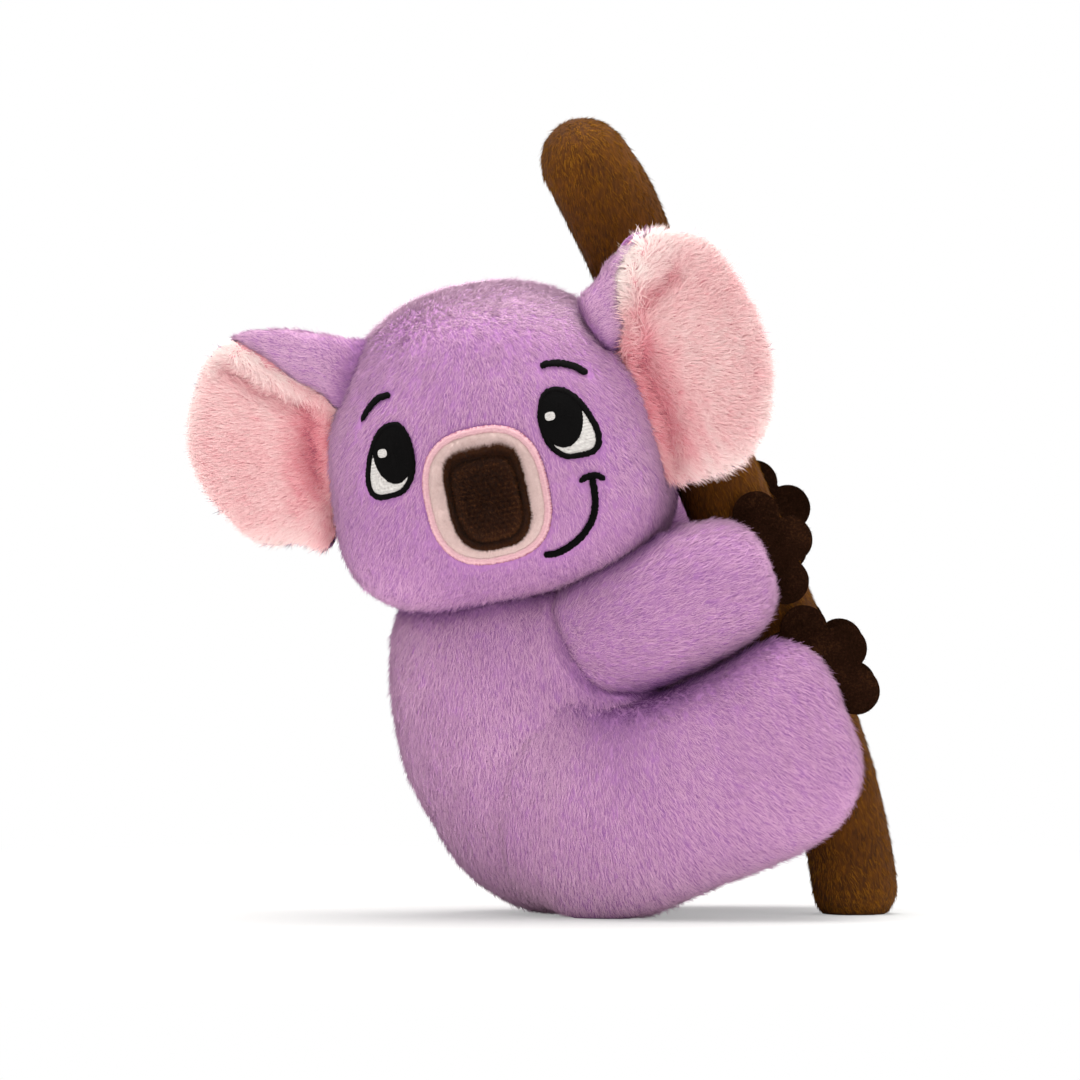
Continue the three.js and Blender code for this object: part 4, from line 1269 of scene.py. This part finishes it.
for number, (name, s) in enumerate(earSides.items()):
    place = earPlace(s)
    top, low = openLine(s["foldTop"], 60), openLine(s["foldLow"], 60)

    def inFold(points, margin):  # inside the roll, as seen from the front
        x, _, z = place.axes(points)
        inside = np.zeros(len(points), bool)
        for a, b in zip(top, low):
            inside |= np.hypot(x - (a + b)[0] / 2, z - (a + b)[1] / 2) < (
                np.linalg.norm(a - b) / 2 - margin)
        return inside

    def relief(x, z):  # the lining rolls up under the fold and creases below it
        ridge, crease = nearLine(x, z, s["ridge"]), nearLine(x, z, s["crease"])
        return (creaseSet["roll"] * bell(ridge, creaseSet["rollWide"])
                - creaseSet["deep"] * bell(crease, creaseSet["wide"]))

    backSkin = Skin(earLayer(s, 1.5, 0, earSet["back"]), 50, 70)
    backSkin.push(waves(backSkin.points, 22, 80 + number) * 0.4)
    backSkin.mesh(name + "_back_plush", name, lilacCloth, [name + "_back"], 0.4)
    foldSkin = Skin(earFold(s), 60, 48)
    foldSkin.push(waves(foldSkin.points, 16, 88 + number) * 0.5)
    foldSkin.mesh(name + "_fold_plush", name, lilacCloth, fill=0.4)
    liningSkin = Skin(earLayer(s, 2.6, 0.3, -earSet["lining"], relief), 80, 110)
    liningSkin.push(waves(liningSkin.points, 14, 90 + number) * 0.5)
    liningSkin.mesh(name + "_lining_plush", name, pinkCloth, [name + "_lining"], 0.5)

    def outward(roots, normals):  # away from the ear's root
        local = place.into(roots) - [s["root"][0], 0, s["root"][1]]
        way = local * [1, 0, 0.8] / 28 + [0.55, 0, -0.12]
        return unit(way) @ place.turn.T

    def overTheFold(roots, normals):  # away from the head along the roll
        return np.broadcast_to(place.turn @ np.array([1, 0, 0.3]), roots.shape)

    def liningComb(roots, normals):
        x, _, z = place.axes(roots)
        ridge = bell(nearLine(x, z, s["ridge"]), 2.6)[:, None]
        return outward(roots, normals) * (1 - ridge) + (place.turn @ s["brushed"]) * ridge

    # painted shade in the lining's crease and beside the head, a painted highlight along the
    # roll, and painted light towards the rim
    def liningLightAndShade(roots, normals):
        x, _, z = place.axes(roots)
        crease = 1 - 0.55 * bell(nearLine(x, z, s["crease"]), 2.6)
        ridge = 0.3 * bell(nearLine(x, z, s["ridge"]), 3.2)
        edge = np.hypot((x - earMiddle) / earSet["halfWidth"], z / s["high"])
        away = headAway(roots)
        beside = 0.1 + 0.4 * smooth(away, -1, 5) + 0.5 * smooth(away, 4, 15)
        return crease * beside + ridge + 0.55 * smooth(edge, 0.65, 0.98)

    def clearOfFold(roots, way, length):
        share = np.ones(length.shape)
        if s["tuft"]:  # this ear's lining stands out in tufts over the back cloth
            x, _, z = place.axes(roots)
            rim = bell(nearLine(x, z, s["ridge"]), 4) * (1 - smooth(z, 20, 30))
            return share + (s["tuft"] * rim * (1 + 1.5 * waves(roots, 5, 99)))[:, None]
        for shorter in (0.8, 0.55, 0.3):
            share[inFold(roots + way * length * (shorter + 0.2), 1.2)] = shorter
        return share

    def facing(roots, normals):  # how much the place looks to the ear's back
        return normals @ place.turn[:, 1]

    def backShown(roots, normals):
        return outOf(roots, (headAway, 2)) & (facing(roots, normals) > 0.55)

    def foldShown(roots, normals):
        return outOf(roots, (headAway, 2)) & (facing(roots, normals) < 0.6)

    def liningShown(roots, normals):
        return (outOf(roots, (headAway, 2)) & (facing(roots, normals) < 0.15)
                & ~inFold(roots, 0.5))

    # painted shade on the ear's lilac pile beside the head; the fold's pile gets a little less of
    # it
    shadeBesideHead = openBeside([headAway], 7)
    ahead = place.turn @ np.array([0, -0.5, 0])
    pileOn(name + "_back_pile", backSkin, name, lilacPile,
           dict(earBackPile, seed=81 + number, facing=-ahead), outward, backShown, None,
           shadeBesideHead)
    pileOn(name + "_fold_pile", foldSkin, name, lilacPile, dict(earFoldPile, seed=85 + number),
           overTheFold, foldShown, None, lambda *at: shadeBesideHead(*at) + 0.2)
    pileOn(name + "_lining_pile", liningSkin, name, pinkPile,
           dict(earLiningPile, seed=91 + number, facing=ahead, **s["pile"]), liningComb,
           liningShown, clearOfFold, liningLightAndShade)
print("ears made")

branchPile = dict(strands=58000, seed=95, length=2.6, width=0.22, rise=12, spread=6,
                  unruly=0.2, clump=4.0, clumping=0.34)
fullSet = dict(at=216, reach=21, fuller=1.2, aside=1.6)  # stuffed fullest under its bent tip
branchSkin = Skin(branchSurface, 160, 48)
fullest = bell(branchSkin.points[..., 2] - fullSet["at"], fullSet["reach"])
branchSkin.push(waves(branchSkin.points, 30, 31) * 0.5 - 0.4 + fullSet["fuller"] * fullest)
branchSkin.points = branchSkin.points + branchAside * (fullSet["aside"] * fullest)[..., None]
branchSkin.restOnFloor()
branchSkin.mesh("branch_plush", "branch", barkCloth, ["branch_skin", "branch_filling"], 0.8)
# painted shade on the branch's pile beside the limbs and the head
pileOn("branch_pile", branchSkin, "branch", barkPile, branchPile, combed(*(-branchUp)),
       lambda roots, normals: outOf(roots, (headAway, 3), (torsoAway, 3)), None,
       openBeside(list(limbAway.values()) + [headAway], 6))
print("branch made")

stageSet = dict(floor="#b6b5b3", world=0.95, radius=4.0, camera=3.6, rise=1.0, frameWidth=0.324,
                aim=0.1122, corners=96)


def floorMade():
    corners = stageSet["corners"]
    angle = np.linspace(0, 2 * math.pi, corners, endpoint=False)
    ring = xyz(np.cos(angle), np.sin(angle), 0) * stageSet["radius"]
    mesh = bpy.data.meshes.new("floor")
    mesh.from_pydata(ring.tolist(), [], [list(range(corners))])
    floor = bpy.data.objects.new("floor", mesh)
    bpy.context.scene.collection.objects.link(floor)
    made = Finish("pale_floor", Roughness=0.9, Specular_IOR_Level=0.1)
    # the camera sees the floor lighter than it is, and far off as white as the backdrop
    far = made.node("VectorMath", {"operation": "LENGTH"}, 1, i0=made.node("TexCoord", output=3))
    share = made.node("MapRange", {"interpolation_type": "SMOOTHSTEP"}, Value=far, i1=0.12,
                      i2=0.5)
    seen = made.node("LightPath")
    made.feed(Base_Color=made.blend(seen, colour("#f0efee"), colour(stageSet["floor"])))
    mixed = made.node("MixShader", i0=(share * 0.65 + 0.35) * seen,
                      i1=Value(made.tree, made.shader.outputs[0]), i2=made.node("Emission"))
    output = made.tree.nodes["Material Output"]
    made.tree.links.new(mixed.socket, output.inputs["Surface"])
    mesh.materials.append(made.material)


def worldMade():
    world = bpy.data.worlds.new("studio")
    bpy.context.scene.world = world
    world.use_nodes = True
    tree = world.node_tree
    path = tree.nodes.new("ShaderNodeLightPath")
    camera, glossy, clear = (Value(tree, path.outputs[k]) for k in
                             ("Is Camera Ray", "Is Glossy Ray", "Is Transmission Ray"))
    seen = (camera + glossy + clear).maths("MINIMUM", 1.0)
    level = seen * (1 - stageSet["world"]) + stageSet["world"]
    back = tree.nodes["Background"]
    back.inputs["Color"].default_value = (1, 1, 1, 1)
    tree.links.new(level.socket, back.inputs["Strength"])


def placed(name, data, spot, aim):  # a lamp or the camera, turned towards its aim
    thing = bpy.data.objects.new(name, data)
    thing.location = spot
    thing.rotation_euler = (Vector(aim) - Vector(spot)).to_track_quat("-Z", "Y").to_euler()
    bpy.context.scene.collection.objects.link(thing)
    return thing


def lampAt(name, spot, size, power, aim=(0, 0, 0.11)):
    data = bpy.data.lights.new(name, "AREA")
    data.shape, data.size, data.energy = "DISK", size, power
    placed(name, data, spot, aim)


floorMade()
worldMade()
lampAt("key_lamp", (-0.7, -0.8, 1.1), 1.1, 6.0)
lampAt("fill_lamp", (0.3, -1.5, 0.12), 1.0, 4.5)
lampAt("side_lamp", (1.2, -0.5, 0.6), 0.8, 2.5)
lampAt("top_lamp", (0.0, 0.1, 1.3), 1.0, 31.0)

aim = np.array([rootShift[0] * mm, rootShift[1] * mm, stageSet["aim"]])
tip = stageSet["rise"] * rad
lens = bpy.data.cameras.new("camera")
lens.lens = lens.sensor_width * stageSet["camera"] / stageSet["frameWidth"]
bpy.context.scene.camera = placed(
    "camera", lens, aim + np.array([0, -math.cos(tip), math.sin(tip)]) * stageSet["camera"], aim)
bpy.context.scene.view_settings.view_transform = "Standard"
print("stage made")
